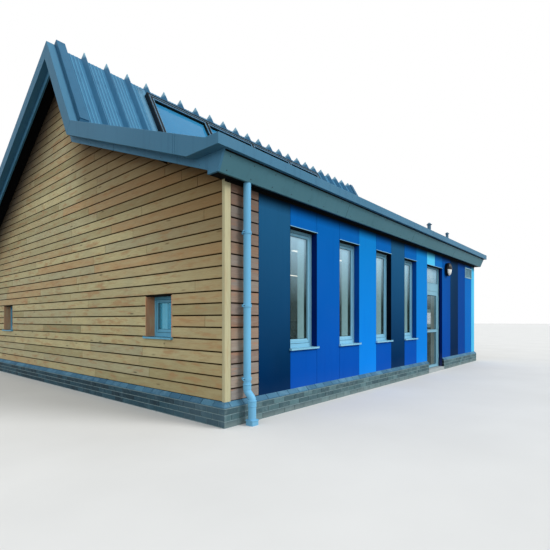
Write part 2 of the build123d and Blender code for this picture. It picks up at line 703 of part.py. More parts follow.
def door_leaf():
    """Glazed leaf with the moving halves of its hinges."""
    face = (LEAF_FACE, LEAF_FACE + LEAF_THICK)
    leaf = block(LEAF_X, face, (LEAF_BOTTOM, LEAF_TOP))
    glass_x = (LEAF_X[0] + STILE, LEAF_X[1] - STILE)
    lights = ((LEAF_BOTTOM + BOTTOM_RAIL, MIDDLE_RAIL_BOTTOM),
              (MIDDLE_RAIL_BOTTOM + MIDDLE_RAIL, LEAF_TOP - TOP_RAIL))
    for light in lights:
        leaf -= block(glass_x, face, light)
    for z in HINGE_HEIGHTS:
        bottom = z + HINGE_KNUCKLE + HINGE_FIT
        tall = HINGE_KNUCKLE
        barrel = knuckle(bottom, tall) + hinge_plate(bottom, tall, -1)
        bore = Pos(HINGE_X, HINGE_Y, bottom) * Cylinder(HINGE_PIN_RADIUS + HINGE_FIT, tall,
                                                        align=(Align.CENTER, Align.CENTER, Align.MIN))
        leaf += barrel - bore
    save("door_leaf", leaf)
    middle = LEAF_FACE + LEAF_THICK / 2
    save("door_glass", *[block(glass_x, (middle - GLASS_THICK / 2, middle + GLASS_THICK / 2), light)
                         for light in lights])


def door_handle():
    """Lever handle on a plate, outside and inside, on the stile away from the hinges."""
    x = LEAF_X[0] + STILE / 2
    half = HANDLE_BAR / 2
    plate_x = (x - HANDLE_PLATE_WIDTH / 2, x + HANDLE_PLATE_WIDTH / 2)
    plate_z = (HANDLE_HEIGHT - HANDLE_PLATE_TALL / 2, HANDLE_HEIGHT + HANDLE_PLATE_TALL / 2)
    bar_z = (HANDLE_HEIGHT - half, HANDLE_HEIGHT + half)
    parts = []
    for face, out in ((LEAF_FACE, -1), (LEAF_FACE + LEAF_THICK, 1)):
        grip = face + out * (HANDLE_PLATE_THICK + HANDLE_NECK)
        plate = block(plate_x, sorted((face, face + out * HANDLE_PLATE_THICK)), plate_z)
        spindle = block((x - half, x + half), sorted((face, grip + out * half)), bar_z)
        hand = block((x - half, x + HANDLE_LEVER), (grip - half, grip + half), bar_z)
        parts.append(plate + spindle + hand)
    save("door_handle", *parts)


def threshold():
    sill_front = FRONT - PLINTH_PROUD
    save("threshold", block((DOOR_LEFT, DOOR_RIGHT), (sill_front, FRONT + SHELL), (0, FLOOR_TOP)))


# Fittings

def rainwater_pipe():
    """Round pipe from the eaves soffit, set forward over the plinth into a socket and a square shoe."""
    x = LEFT + PIPE_FROM_CORNER
    wall_line = FRONT - PIPE_STANDOFF
    foot_line = FRONT - PIPE_FOOT_STANDOFF
    route = FilletPolyline((x, wall_line, SOFFIT_HEIGHT), (x, wall_line, PIPE_BEND_TOP),
                           (x, foot_line, PIPE_BEND_BOTTOM), (x, foot_line, SHOE_HEIGHT), radius=PIPE_RADIUS * 1.5)
    pipe = sweep(Plane((x, wall_line, SOFFIT_HEIGHT), z_dir=(0, 0, -1)) * Circle(PIPE_RADIUS), path=route)
    socket = Pos(x, foot_line, SHOE_HEIGHT) * Cylinder(SOCKET_RADIUS, SOCKET_TOP - SHOE_HEIGHT,
                                                       align=(Align.CENTER, Align.CENTER, Align.MIN))
    half = SHOE_SIDE / 2
    shoe = block((x - half, x + half), (foot_line - half, FRONT - PLINTH_PROUD), (0, SHOE_HEIGHT))
    pipe = pipe + socket + shoe
    save("downpipes", pipe, turned(pipe))

    brackets = []
    for z in BRACKET_HEIGHTS:
        band = Pos(x, wall_line, z) * Cylinder(PIPE_RADIUS + BRACKET_RING, BRACKET_BAND)
        stem = block((x - BRACKET_STEM / 2, x + BRACKET_STEM / 2), (wall_line, FRONT),
                     (z - BRACKET_STEM / 2, z + BRACKET_STEM / 2))
        clip = band + stem - Pos(x, wall_line, z) * Cylinder(PIPE_RADIUS, 2 * BRACKET_BAND)
        brackets += [clip, turned(clip)]
    save("pipe_brackets", *brackets)


def wall_light():
    """Oval bulkhead light: body and hood in one piece, and a lens in the lower half of the dome."""
    x, z = DOOR_RIGHT + LIGHT_FROM_DOOR, SOFFIT_HEIGHT - LIGHT_BELOW_SOFFIT
    wall = Plane(origin=(x, FRONT, z), x_dir=(1, 0, 0), z_dir=(0, -1, 0))
    body = extrude(wall * Ellipse(LIGHT_HALF_WIDTH, LIGHT_HALF_HEIGHT), LIGHT_BODY)
    share = LIGHT_DOME_SHARE
    base = wall.offset(LIGHT_BODY) * Ellipse(LIGHT_HALF_WIDTH, LIGHT_HALF_HEIGHT)
    top = wall.offset(LIGHT_BODY + LIGHT_DOME) * Ellipse(LIGHT_HALF_WIDTH * share, LIGHT_HALF_HEIGHT * share)
    dome = loft([base, top])
    reach = LIGHT_HALF_HEIGHT
    lower = block((x - reach, x + reach), (FRONT - LIGHT_BODY - LIGHT_DOME, FRONT - LIGHT_BODY),
                  (z - reach, z))
    save("wall_light_body", body + (dome - lower))
    save("wall_light_lens", dome & lower)


def louvre_vent():
    """Framed louvre in the last full bay, with sloping slats."""
    finish, start, end = bays()[-2]
    half = PANEL_JOINT / 2
    left, right = start + half, end - half
    bottom = VENT_HEAD - VENT_HEIGHT
    face = (FRONT - VENT_PROUD, FRONT + CLADDING)
    frame = block((left, right), face, (bottom, VENT_HEAD))
    inside = (left + VENT_FRAME, right - VENT_FRAME)
    low_edge, high_edge = bottom + VENT_FRAME, VENT_HEAD - VENT_FRAME
    frame -= block(inside, (face[0], FRONT + CLADDING - VENT_FRAME), (low_edge, high_edge))
    rise = (high_edge - low_edge) / VENT_SLATS
    for index in range(VENT_SLATS):
        z = low_edge + index * rise + VENT_SLAT_THICK
        outer, inner = FRONT, FRONT + CLADDING - VENT_FRAME
        frame += prism([(outer, z), (inner, z + rise / 2), (inner, z + rise / 2 + VENT_SLAT_THICK),
                        (outer, z + VENT_SLAT_THICK)], *inside)
    save("louvre_vent", frame)


def roof_vents():
    """Soil vent pipes that rise through the low slope, each under a round cowl."""
    made = []
    ribs = rib_positions()
    middle = (ribs[-3] + ribs[-2]) / 2
    for past_middle, from_front, radius, rise in ROOF_VENTS:
        x, y = middle + past_middle, FRONT + from_front
        foot = height(low(SHEET_DROP), y)
        reach = radius * tan(radians(LOW_PITCH))
        pipe = Pos(x, y, foot - reach) * Cylinder(radius, rise + reach, align=(Align.CENTER, Align.CENTER, Align.MIN))
        pipe -= prism(low_strip(SHEET_DROP, DECK_UNDERSIDE, FLAT_END), LEFT, RIGHT)
        scale = radius / ROOF_VENTS[0][2]
        cowl = Pos(x, y, foot + rise) * Cone(COWL_RADIUS * scale, radius / 2, COWL_HEIGHT * scale,
                                             align=(Align.CENTER, Align.CENTER, Align.MIN))
        made.append(pipe + cowl)
    save("roof_vents", *made)


floor_slab()
plinth_parts()
front_walls()
rear_wall()
gable_walls()
panels()
timber()
roof_decks()
roof_sheets()
rooflight()
verge_fascias()
verge_caps()
eaves()
windows()
door_frame()
door_leaf()
door_handle()
threshold()
rainwater_pipe()
wall_light()
louvre_vent()
roof_vents()
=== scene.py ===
"""Looks of a one-storey classroom building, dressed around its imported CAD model.

Everything is in metres, in the frame of the CAD model: the origin is at the middle of the plan at ground
level, X runs along the building, Y from the panelled front to the rear, and Z is up.
"""

import json
import logging
import math
from collections.abc import Callable
from dataclasses import dataclass, field
from enum import Enum
from typing import ClassVar

import bmesh
import bpy
import numpy as np
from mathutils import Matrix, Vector
from numpy.typing import NDArray

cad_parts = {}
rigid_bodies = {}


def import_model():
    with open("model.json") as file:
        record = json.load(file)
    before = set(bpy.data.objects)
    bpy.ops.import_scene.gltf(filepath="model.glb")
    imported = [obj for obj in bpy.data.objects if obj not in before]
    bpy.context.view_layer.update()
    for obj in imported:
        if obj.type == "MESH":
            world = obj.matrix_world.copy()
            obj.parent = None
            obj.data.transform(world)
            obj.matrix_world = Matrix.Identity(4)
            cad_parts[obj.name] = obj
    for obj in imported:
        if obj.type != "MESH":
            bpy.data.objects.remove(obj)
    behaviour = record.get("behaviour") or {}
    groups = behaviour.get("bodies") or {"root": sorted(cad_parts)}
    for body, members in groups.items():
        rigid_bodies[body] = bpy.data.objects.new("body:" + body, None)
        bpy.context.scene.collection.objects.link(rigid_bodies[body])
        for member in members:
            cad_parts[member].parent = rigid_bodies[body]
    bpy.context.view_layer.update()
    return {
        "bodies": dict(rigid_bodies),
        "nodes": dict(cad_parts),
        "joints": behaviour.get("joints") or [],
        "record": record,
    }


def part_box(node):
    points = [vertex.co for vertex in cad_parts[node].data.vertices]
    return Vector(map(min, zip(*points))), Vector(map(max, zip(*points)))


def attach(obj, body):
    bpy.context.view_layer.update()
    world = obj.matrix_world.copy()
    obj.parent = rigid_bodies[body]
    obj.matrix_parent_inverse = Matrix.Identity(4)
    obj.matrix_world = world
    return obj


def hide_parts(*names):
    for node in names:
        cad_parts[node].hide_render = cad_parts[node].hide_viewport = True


LOG = logging.getLogger("classroom")

Floats = NDArray[np.float64]
Ints = NDArray[np.int64]
Colour = tuple[float, float, float, float]
Triple = tuple[float, float, float]
Pair = tuple[float, float]


# Shapes worked out as whole arrays

@dataclass(frozen=True)
class Shell:
    """Points of a surface and its faces, one array for each number of corners."""

    points: Floats
    faces: tuple[Ints, ...]


@dataclass(frozen=True)
class Place:
    """A local frame on the building: where it starts, and which way along, up and out point."""

    origin: Triple
    along: Triple
    up: Triple
    out: Triple

    def at(self, along: Floats | float, up: Floats | float, out: Floats | float) -> Floats:
        """Turns local distances into points of the building.

        The point is the origin plus each distance times its direction.

        Args:
            along: Distances along the first direction.
            up: Distances along the second direction.
            out: Distances along the third direction.

        Returns:
            An array with one more axis than the distances, of length 3.
        """
        axes = [np.asarray(axis, float) for axis in (self.along, self.up, self.out)]
        parts = [np.asarray(d, float)[..., None] * axis for d, axis in zip((along, up, out), axes)]
        return np.asarray(self.origin, float) + parts[0] + parts[1] + parts[2]

    def moved(self, along: float, up: float, out: float = 0.0) -> "Place":
        """The same frame with its origin moved.
        """
        return Place(tuple(self.at(along, up, out).tolist()), self.along, self.up, self.out)

    def upright(self) -> "Place":
        """The same frame with along and up exchanged, for runs that go up."""
        return Place(self.origin, self.up, self.along, self.out)


def carried(profile: Floats, start: Floats, end: Floats, place: Place, rise: Floats | float = 0.0,
            offset: Floats | float = 0.0) -> Shell:
    """Closed profiles carried in straight runs, each with its own ends.

    Point p of run r lies at start[r, p] or end[r, p] along, at the profile's up plus rise[r], and at the
    profile's out plus offset[r].

    Args:
        profile: Closed outline as (out, up) pairs.
        start: Where each run starts, one row a run, one column a profile point or a single column.
        end: Where each run ends, in the same form.
        place: Frame that the runs lie in.
        rise: How far up each run is moved.
        offset: How far out each run is moved.

    Returns:
        All the runs as one shell, closed at both ends.
    """
    count, corners = len(start), len(profile)
    ends = np.stack([np.broadcast_to(start, (count, corners)), np.broadcast_to(end, (count, corners))],
                    axis=1)
    up = profile[:, 1] + np.broadcast_to(np.asarray(rise, float), (count,))[:, None, None]
    out = profile[:, 0] + np.broadcast_to(np.asarray(offset, float), (count,))[:, None, None]
    points = place.at(ends, np.broadcast_to(up, ends.shape), np.broadcast_to(out, ends.shape)).reshape(-1, 3)
    base = (np.arange(count) * 2 * corners)[:, None]
    here = np.arange(corners)
    there = (here + 1) % corners
    sides = np.stack([here, there, there + corners, here + corners], axis=1)
    quads = (base[:, :, None] + sides[None]).reshape(-1, 4)
    caps = np.concatenate([base + here[::-1], base + corners + here])
    return Shell(points, (quads, caps))


def ring(width: float, tall: float, profile: Floats, place: Place, lift: Floats | float = 0.0) -> Shell:
    """A closed profile carried round a rectangle with mitred corners.

    At each corner, profile point p lies inset[p] from both edges, and lift[p] further up at the bottom two.

    Args:
        width: Width of the rectangle, along the frame.
        tall: Height of the rectangle, up the frame.
        profile: Closed outline as (inset, out) pairs.
        place: Frame whose origin is the lower left corner.
        lift: Extra height of each profile point at the bottom edge.

    Returns:
        The mitred frame as one shell.
    """
    inset, out = profile[:, 0], profile[:, 1]
    low, high = inset + lift, tall - inset
    along = np.stack([inset, width - inset, width - inset, inset])
    up = np.stack([low, low, high, high])
    points = place.at(along, up, np.broadcast_to(out, along.shape)).reshape(-1, 3)
    return Shell(points, (lattice_faces(4, len(profile), True, True),))


def lattice_faces(rows: int, columns: int, wrap_rows: bool, wrap_columns: bool) -> Ints:
    """Quads between neighbours on a grid of points.

    Args:
        rows: Rows of the grid.
        columns: Points in each row.
        wrap_rows: Whether the last row is joined to the first.
        wrap_columns: Whether each row's last point is joined to its first.

    Returns:
        Four point numbers a quad.
    """
    row = np.arange(rows if wrap_rows else rows - 1)
    column = np.arange(columns if wrap_columns else columns - 1)
    r, c = np.meshgrid(row, column, indexing="ij")
    r2, c2 = (r + 1) % rows, (c + 1) % columns
    quads = np.stack([r * columns + c, r2 * columns + c, r2 * columns + c2, r * columns + c2], axis=-1)
    return quads.reshape(-1, 4)


def turned_profile(profile: Floats, place: Place, segments: int = 32, squash: float = 1.0,
                   arc: tuple[float, float] = (0.0, math.tau)) -> Shell:
    """A surface of revolution about the frame's out direction.

    The point is radius * cos(angle) along, squash * radius * sin(angle) up and the profile's depth out.

    Args:
        profile: (radius, out) pairs, which may start and end at radius 0 in a full turn, and are a closed
            outline in a part turn.
        place: Frame with its origin on the axis.
        segments: Steps of the turn.
        squash: Height of the section as a share of its width.
        arc: First and last angle.

    Returns:
        The turned shell, closed at its ends where the turn is a part one.
    """
    full = math.isclose(arc[1] - arc[0], math.tau)
    angles = np.linspace(arc[0], arc[1], segments, endpoint=not full)[:, None]
    radius = profile[None, :, 0]
    along, up = radius * np.cos(angles), squash * radius * np.sin(angles)
    out = np.broadcast_to(profile[None, :, 1], along.shape)
    points = place.at(along, up, out).reshape(-1, 3)
    columns = len(profile)
    if full:
        return Shell(points, (lattice_faces(segments, columns, True, False),))
    caps = np.stack([np.arange(columns)[::-1], (segments - 1) * columns + np.arange(columns)])
    return Shell(points, (lattice_faces(segments, columns, False, True), caps))


def bevelled_bar(depth: float, low: float, high: float, edge: float, front: float = 0.0) -> Floats:
    """Outline of a board as (out, up) pairs, with its two front edges cut off at 45 degrees."""
    back = front - depth
    return np.array([(back, low), (front - edge, low), (front, low + edge), (front, high - edge),
                     (front - edge, high), (back, high)])


def oblong(first: float, last: float, low: float, high: float) -> Floats:
    """Outline of a rectangle between two values on its first axis and two on its second."""
    return np.array([(first, low), (last, low), (last, high), (first, high)])


def rounded_bar(width: float, tall: float, radius: float, steps: int = 3) -> Floats:
    """Outline of a rectangle centred on the origin, with quarter circles at its corners.

    Args:
        width: Size on the first axis.
        tall: Size on the second axis.
        radius: Radius of the corners.
        steps: Steps of each quarter circle.

    Returns:
        The closed outline.
    """
    turn = np.linspace(0, math.pi / 2, steps + 1)
    x, y = width / 2 - radius, tall / 2 - radius
    arcs = []
    for quarter, (right, up) in enumerate(((x, y), (-x, y), (-x, -y), (x, -y))):
        angle = turn + quarter * math.pi / 2
        arcs.append(np.column_stack([right + radius * np.cos(angle), up + radius * np.sin(angle)]))
    return np.concatenate(arcs)


def inset_outline(outline: Floats, distance: float) -> Floats:
    """A closed outline moved inwards.

    Each corner moves by the sum of its two inward normals times distance / (1 + their dot product), which
    brings it to where both edges meet once they are moved in.

    Args:
        outline: Closed outline.
        distance: How far its edges move in.

    Returns:
        The smaller outline, with the same number of points.
    """
    following = np.roll(outline, -1, axis=0)
    ahead = (following - outline) / np.linalg.norm(following - outline, axis=1)[:, None]
    area = (outline[:, 0] * following[:, 1] - outline[:, 1] * following[:, 0]).sum()
    normal = np.stack([-ahead[:, 1], ahead[:, 0]], axis=1) * np.sign(area)
    before = np.roll(normal, 1, axis=0)
    return outline + (normal + before) * (distance / (1 + (normal * before).sum(axis=1)))[:, None]


def plate(outline: Floats, inner: float, outer: float, edge: float) -> Shell:
    """A flat outline in the Y-Z plane given a thickness along X, with the edges of its outer face cut off.

    Three rings carry it: the outline at the inner face, the outline one edge short of the outer face, and the
    outline moved in by the edge at the outer face.

    Args:
        outline: Closed outline as (y, z) pairs.
        inner: X of the hidden face.
        outer: X of the face that shows.
        edge: Width of the cut edge.

    Returns:
        The plate as one closed shell.
    """
    count = len(outline)
    short = outer - math.copysign(edge, outer - inner)
    rings = [(inner, outline), (short, outline), (outer, inset_outline(outline, edge))]
    points = np.concatenate([np.column_stack([np.full(count, x), ring_points]) for x, ring_points in rings])
    caps = np.stack([np.arange(count)[::-1], 2 * count + np.arange(count)])
    return Shell(points, (lattice_faces(3, count, False, True), caps))


def banded(top: Floats, bottom: Floats, cuts: tuple[float, ...], gap: float) -> list[Floats]:
    """Outlines of a band between two rows of (y, z) points, parted at upright joints.

    At a joint, both edges are read off at the cut, half a gap to either side.

    Args:
        top: Upper row of points.
        bottom: Lower row of points.
        cuts: The y of each joint.
        gap: Width of each joint.

    Returns:
        A closed outline for each part.
    """
    stops = [-math.inf, *cuts, math.inf]
    found = []
    for first, last in zip(stops[:-1], stops[1:]):
        sides = []
        for row in (top, bottom):
            kept = row[(row[:, 0] > first) & (row[:, 0] < last)]
            ends = [np.array([[y, np.interp(y, row[:, 0], row[:, 1])]]) if math.isfinite(y) else row[:0]
                    for y in (first + gap / 2, last - gap / 2)]
            sides.append(np.concatenate([ends[0], kept, ends[1]]))
        found.append(np.concatenate([sides[0], sides[1][::-1]]))
    return found


def whole(value: float) -> Floats:
    """The start or end of a single run."""
    return np.full((1, 1), value)


def lengths(start: float, end: float, longest: float, gap: float) -> tuple[Floats, Floats]:
    """Equal lengths that share a run, none over the longest, with a gap at each joint.

    Args:
        start: Where the run starts.
        end: Where it ends.
        longest: The longest length allowed.
        gap: Width of each joint.

    Returns:
        Starts and ends of the lengths, one row each.
    """
    stops = np.linspace(start, end, math.ceil((end - start) / longest) + 1)
    starts, ends = stops[:-1].copy(), stops[1:].copy()
    starts[1:] += gap / 2
    ends[:-1] -= gap / 2
    return starts[:, None], ends[:, None]


def repeated(shell: Shell, place: Place, spots: Floats) -> Shell:
    """Copies of a shell.

    Args:
        shell: The shell.
        place: Frame that the copies are moved in.
        spots: How far along and up each copy is moved, one row a copy.

    Returns:
        All copies as one shell.
    """
    shift = place.at(spots[:, 0], spots[:, 1], np.zeros(len(spots))) - np.asarray(place.origin, float)
    count = len(shell.points)
    base = np.arange(len(spots))[:, None, None] * count
    faces = tuple((base + one[None]).reshape(-1, one.shape[1]) for one in shell.faces)
    return Shell((shell.points[None] + shift[:, None]).reshape(-1, 3), faces)


def screws(place: Place, spots: Floats, radius: float = 0.007) -> Shell:
    """Round-headed screws with washers at (along, up) spots of a frame."""
    section = np.array([(0.0, 0.9), (0.4, 0.75), (0.62, 0.35), (0.64, 0.15), (1.0, 0.1), (1.0, -0.1),
                        (0.0, -0.1)])
    return repeated(turned_profile(section * radius, place, 8), place, spots)


@dataclass
class Piece:
    """Shells gathered under one name, with a tone for each point and a material slot for each face."""

    name: str
    materials: list[bpy.types.Material]
    body: str = "building"
    slot: str = ""
    smooth: float = 32.0
    shells: list[Shell] = field(default_factory=list)
    tones: list[Floats] = field(default_factory=list)
    slots: list[int] = field(default_factory=list)

    def add(self, shell: Shell, tone: Floats | float = 0.5, slot: int = 0) -> "Piece":
        """Adds a shell.

        Args:
            shell: The shell to add.
            tone: One value for the whole shell, or one value a run, spread over that run's points.
            slot: Which of the piece's materials its faces take.

        Returns:
            The piece itself, so that calls can follow each other.
        """
        values = np.atleast_1d(np.asarray(tone, float))
        self.tones.append(np.repeat(values, len(shell.points) // len(values)))
        self.shells.append(shell)
        self.slots.append(slot)
        return self

    def finish(self, replaces: tuple[str, ...] = ()) -> None:
        """Makes the object from the shells' mesh, which rides on its body.

        Args:
            replaces: CAD nodes that this piece stands for.
        """
        made = linked(self.name, self.mesh())
        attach(made, self.body)
        if replaces:
            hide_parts(*replaces)
        LOG.info("%s: %d faces", self.name, len(made.data.polygons))

    def mesh(self) -> bpy.types.Mesh:
        """Puts the shells into one mesh, with the tones as a point attribute.

        Returns:
            The mesh, with its materials.
        """
        counts = np.cumsum([0] + [len(shell.points) for shell in self.shells])
        points = np.concatenate([shell.points for shell in self.shells])
        groups = [(faces + counts[index], self.slots[index])
                  for index, shell in enumerate(self.shells) for faces in shell.faces]
        corners = np.concatenate([faces.ravel() for faces, slot in groups])
        sizes = np.concatenate([np.full(len(faces), faces.shape[1]) for faces, slot in groups])
        slots = np.concatenate([np.full(len(faces), slot) for faces, slot in groups])
        mesh = bpy.data.meshes.new(self.name)
        mesh.vertices.add(len(points))
        mesh.vertices.foreach_set("co", points.astype(np.float32).ravel())
        mesh.loops.add(len(corners))
        mesh.loops.foreach_set("vertex_index", corners.astype(np.int32))
        mesh.polygons.add(len(sizes))
        mesh.polygons.foreach_set("loop_start", np.concatenate([[0], np.cumsum(sizes)[:-1]]).astype(np.int32))
        mesh.polygons.foreach_set("material_index", slots.astype(np.int32))
        mesh.update(calc_edges=True)
        tone = mesh.attributes.new("tone", "FLOAT", "POINT")
        tone.data.foreach_set("value", np.concatenate(self.tones).astype(np.float32))
        clean_and_turn_outwards(mesh)
        mesh.shade_smooth()
        mesh.set_sharp_from_angle(angle=math.radians(self.smooth))
        for material in self.materials:
            mesh.materials.append(material)
        return mesh


def clean_and_turn_outwards(mesh: bpy.types.Mesh) -> None:
    """Dissolves edges of no length and turns every closed shell's faces outwards."""
    work = bmesh.new()
    work.from_mesh(mesh)
    bmesh.ops.dissolve_degenerate(work, edges=work.edges, dist=1e-6)
    bmesh.ops.recalc_face_normals(work, faces=work.faces)
    work.to_mesh(mesh)
    work.free()


def linked(name: str, data: object) -> bpy.types.Object:
    """A new object of the scene, at the origin."""
    made = bpy.data.objects.new(name, data)
    bpy.context.scene.collection.objects.link(made)
    return made


# Shader nodes

GROUPS: dict[str, bpy.types.NodeTree] = {}


def linear(code: str, alpha: float = 1.0) -> Colour:
    """Linear colour of an sRGB colour written as six hex digits.

    Below 0.04045 a channel is divided by 12.92; above, it is ((channel + 0.055) / 1.055) to the power 2.4.

    Args:
        code: Six hex digits.
        alpha: Opacity.

    Returns:
        The colour with its opacity.
    """
    channel = np.array([int(code[i:i + 2], 16) for i in (0, 2, 4)]) / 255
    value = np.where(channel <= 0.04045, channel / 12.92, ((channel + 0.055) / 1.055) ** 2.4)
    return (float(value[0]), float(value[1]), float(value[2]), alpha)


@dataclass
class Graph:
    """Short calls to add and join nodes in one shader tree."""

    tree: bpy.types.NodeTree

    def fill(self, node: bpy.types.Node, inputs: dict[str | int, object]) -> bpy.types.Node:
        """Joins sockets to a node's inputs, or sets the inputs' own values.

        Args:
            node: The node.
            inputs: For each input socket, a value or the output socket to join to it.

        Returns:
            The same node.
        """
        for key, value in inputs.items():
            if isinstance(value, bpy.types.NodeSocket):
                self.tree.links.new(value, node.inputs[key])
            else:
                node.inputs[key].default_value = value
        return node

    def add(self, kind: str, inputs: dict[str | int, object] | None = None,
            **settings: object) -> bpy.types.Node:
        """Adds a node.

        Args:
            kind: The node's type.
            inputs: For each input socket, a value or the output socket to join to it.
            settings: Properties of the node.

        Returns:
            The new node.
        """
        node = self.tree.nodes.new(kind)
        for key, value in settings.items():
            setattr(node, key, value)
        return self.fill(node, inputs or {})

    def mix(self, factor: object, first: object, second: object, blend: str = "MIX") -> bpy.types.NodeSocket:
        """Two colours mixed by a factor."""
        return self.add("ShaderNodeMix", {0: factor, 6: first, 7: second}, data_type="RGBA", blend_type=blend,
                        clamp_factor=True).outputs[2]

    def over(self, colour: object, mask: object, code: str, share: float | None = None,
             blend: str = "MIX") -> bpy.types.NodeSocket:
        """Lays a second colour over a colour.

        Args:
            colour: The colour below.
            mask: How much of the second colour shows, from 0 to 1.
            code: The second colour as six hex digits.
            share: Multiplies the mask, where given.
            blend: How the two colours are blended.

        Returns:
            The mixed colour.
        """
        return self.mix(mask if share is None else self.times(mask, share), colour, linear(code), blend)

    def math(self, operation: str, first: object, second: object = 0.0,
             clamp: bool = False) -> bpy.types.NodeSocket:
        """Two values combined by an operation."""
        return self.add("ShaderNodeMath", {0: first, 1: second}, operation=operation,
                        use_clamp=clamp).outputs[0]

    def times(self, first: object, second: object) -> bpy.types.NodeSocket:
        """The product of two values."""
        return self.math("MULTIPLY", first, second)

    def spread(self, value: object, low: float, high: float, to_low: float = 0.0,
               to_high: float = 1.0) -> bpy.types.NodeSocket:
        """A value stretched from one range to another, held at its ends."""
        inputs = {"Value": value, "From Min": low, "From Max": high, "To Min": to_low, "To Max": to_high}
        return self.add("ShaderNodeMapRange", inputs).outputs[0]

    def noise(self, vector: object, scale: float, detail: float = 3.0,
              rough: float = 0.5) -> bpy.types.NodeSocket:
        """Fractal noise between 0 and 1 at a scale given in cycles a metre."""
        inputs = {"Vector": vector, "Scale": scale, "Detail": detail, "Roughness": rough}
        return self.add("ShaderNodeTexNoise", inputs).outputs[0]

    def ramp(self, value: object, codes: tuple[str, ...]) -> bpy.types.NodeSocket:
        """Colours at even steps of a value.

        Args:
            value: The value, from 0 at the first colour to 1 at the last.
            codes: The colours, each as six hex digits.

        Returns:
            The colour at that value.
        """
        node = self.add("ShaderNodeValToRGB", {0: value})
        stops = node.color_ramp.elements
        while len(stops) < len(codes):
            stops.new(0.5)
        for index, code in enumerate(codes):
            stops[index].position = index / (len(codes) - 1)
            stops[index].color = linear(code)
        return node.outputs[0]

    def tone(self) -> bpy.types.NodeSocket:
        """The tone attribute, one value for each board, brick or shell."""
        return self.add("ShaderNodeAttribute", attribute_name="tone").outputs["Fac"]

    def place(self) -> bpy.types.NodeSocket:
        """Object coordinates, which are metres in the building's frame."""
        return self.add("ShaderNodeTexCoord").outputs["Object"]

    def stretched(self, vector: object, scale: Triple) -> bpy.types.NodeSocket:
        """Coordinates scaled by a factor on each axis."""
        return self.add("ShaderNodeMapping", {"Vector": vector, "Scale": scale}).outputs[0]

    def axis(self, vector: object, name: str) -> bpy.types.NodeSocket:
        """One coordinate of a vector: X, Y or Z."""
        return self.add("ShaderNodeSeparateXYZ", {0: vector}).outputs[name]

    def bump(self, height: object, strength: float, depth: float) -> bpy.types.NodeSocket:
        """A normal raised by a height, at most the given depth in metres."""
        return self.add("ShaderNodeBump",
                        {"Height": height, "Strength": strength, "Distance": depth}).outputs[0]


def new_group(name: str, inputs: dict[str, tuple[str, object]], outputs: dict[str, str]) -> tuple[
        bpy.types.NodeTree, Graph, bpy.types.Node, bpy.types.Node]:
    """Starts a node group.

    Args:
        name: The group's name.
        inputs: Kind and default of each input: Float, Color or Vector.
        outputs: Kind of each output.

    Returns:
        The tree, a graph on it, and its input and output nodes.
    """
    tree = bpy.data.node_groups.new(name, "ShaderNodeTree")
    for key, (kind, default) in inputs.items():
        socket = tree.interface.new_socket(key, in_out="INPUT", socket_type=f"NodeSocket{kind}")
        if default is not None:
            socket.default_value = default
    for key, kind in outputs.items():
        tree.interface.new_socket(key, in_out="OUTPUT", socket_type=f"NodeSocket{kind}")
    graph = Graph(tree)
    return tree, graph, graph.add("NodeGroupInput"), graph.add("NodeGroupOutput")


def weather_group() -> bpy.types.NodeTree:
    """Weathering of an outdoor surface.

    Dust is fine noise that gathers where the slow noise is high; streaks are noise stretched ten to one down
    the surface; splash fades from the ground to the splash height.

    Returns:
        The group.
    """
    tree, graph, given, made = new_group(
        "weather", {"Vector": ("Vector", None), "Splash height": ("Float", 0.5)},
        {"Dust": "Float", "Streaks": "Float", "Splash": "Float", "Drift": "Float"})
    place = given.outputs["Vector"]
    patches = graph.spread(graph.noise(place, 2.3, 5.0, 0.6), 0.42, 0.75)
    specks = graph.spread(graph.noise(place, 60.0, 3.0, 0.7), 0.45, 0.8)
    streaks = graph.noise(graph.stretched(place, (7.0, 7.0, 0.7)), 1.6, 4.0, 0.6)
    fade = graph.math("DIVIDE", graph.axis(place, "Z"), given.outputs["Splash height"])
    ragged = graph.math("ADD", fade, graph.times(patches, 0.35))
    graph.fill(made, {"Dust": graph.times(patches, specks), "Streaks": graph.spread(streaks, 0.52, 0.78),
                      "Splash": graph.spread(ragged, 1.0, 0.15), "Drift": graph.noise(place, 0.6, 2.0)})
    return tree


def grain_group() -> bpy.types.NodeTree:
    """Sawn softwood seen along its fibres, which run along the first axis of the vector.

    Rings are a wave across the board, bent by slow noise and shifted by the board's tone; fibres are noise
    stretched forty to one and clouds noise stretched five to one; knots are the middles of round cells.

    Returns:
        The group.
    """
    tree, graph, given, made = new_group(
        "grain", {"Vector": ("Vector", None), "Tone": ("Float", 0.5)},
        {"Rings": "Float", "Fibres": "Float", "Clouds": "Float", "Knots": "Float", "Height": "Float"})
    shift = graph.times(given.outputs["Tone"], 37.0)
    away = graph.add("ShaderNodeCombineXYZ", {"X": shift, "Y": shift, "Z": shift}).outputs[0]
    moved = graph.add("ShaderNodeVectorMath", {0: given.outputs["Vector"], 1: away},
                      operation="ADD").outputs[0]
    bent = graph.noise(graph.stretched(moved, (1.1, 9.0, 9.0)), 1.0, 3.0, 0.55)
    rings = graph.spread(graph.math("SINE", graph.times(bent, 70.0)), -1.0, 1.0)
    fibres = graph.noise(graph.stretched(moved, (5.0, 190.0, 190.0)), 1.0, 4.0, 0.65)
    clouds = graph.noise(graph.stretched(moved, (2.6, 13.0, 13.0)), 1.0, 4.0, 0.6)
    round_cells = {"Vector": graph.stretched(moved, (1.5, 7.0, 7.0)), "Scale": 1.0, "Randomness": 1.0}
    cells = graph.add("ShaderNodeTexVoronoi", round_cells).outputs["Distance"]
    graph.fill(made, {"Rings": rings, "Fibres": fibres, "Clouds": clouds,
                      "Knots": graph.spread(cells, 0.11, 0.05),
                      "Height": graph.math("ADD", graph.times(rings, 0.35), fibres)})
    return tree


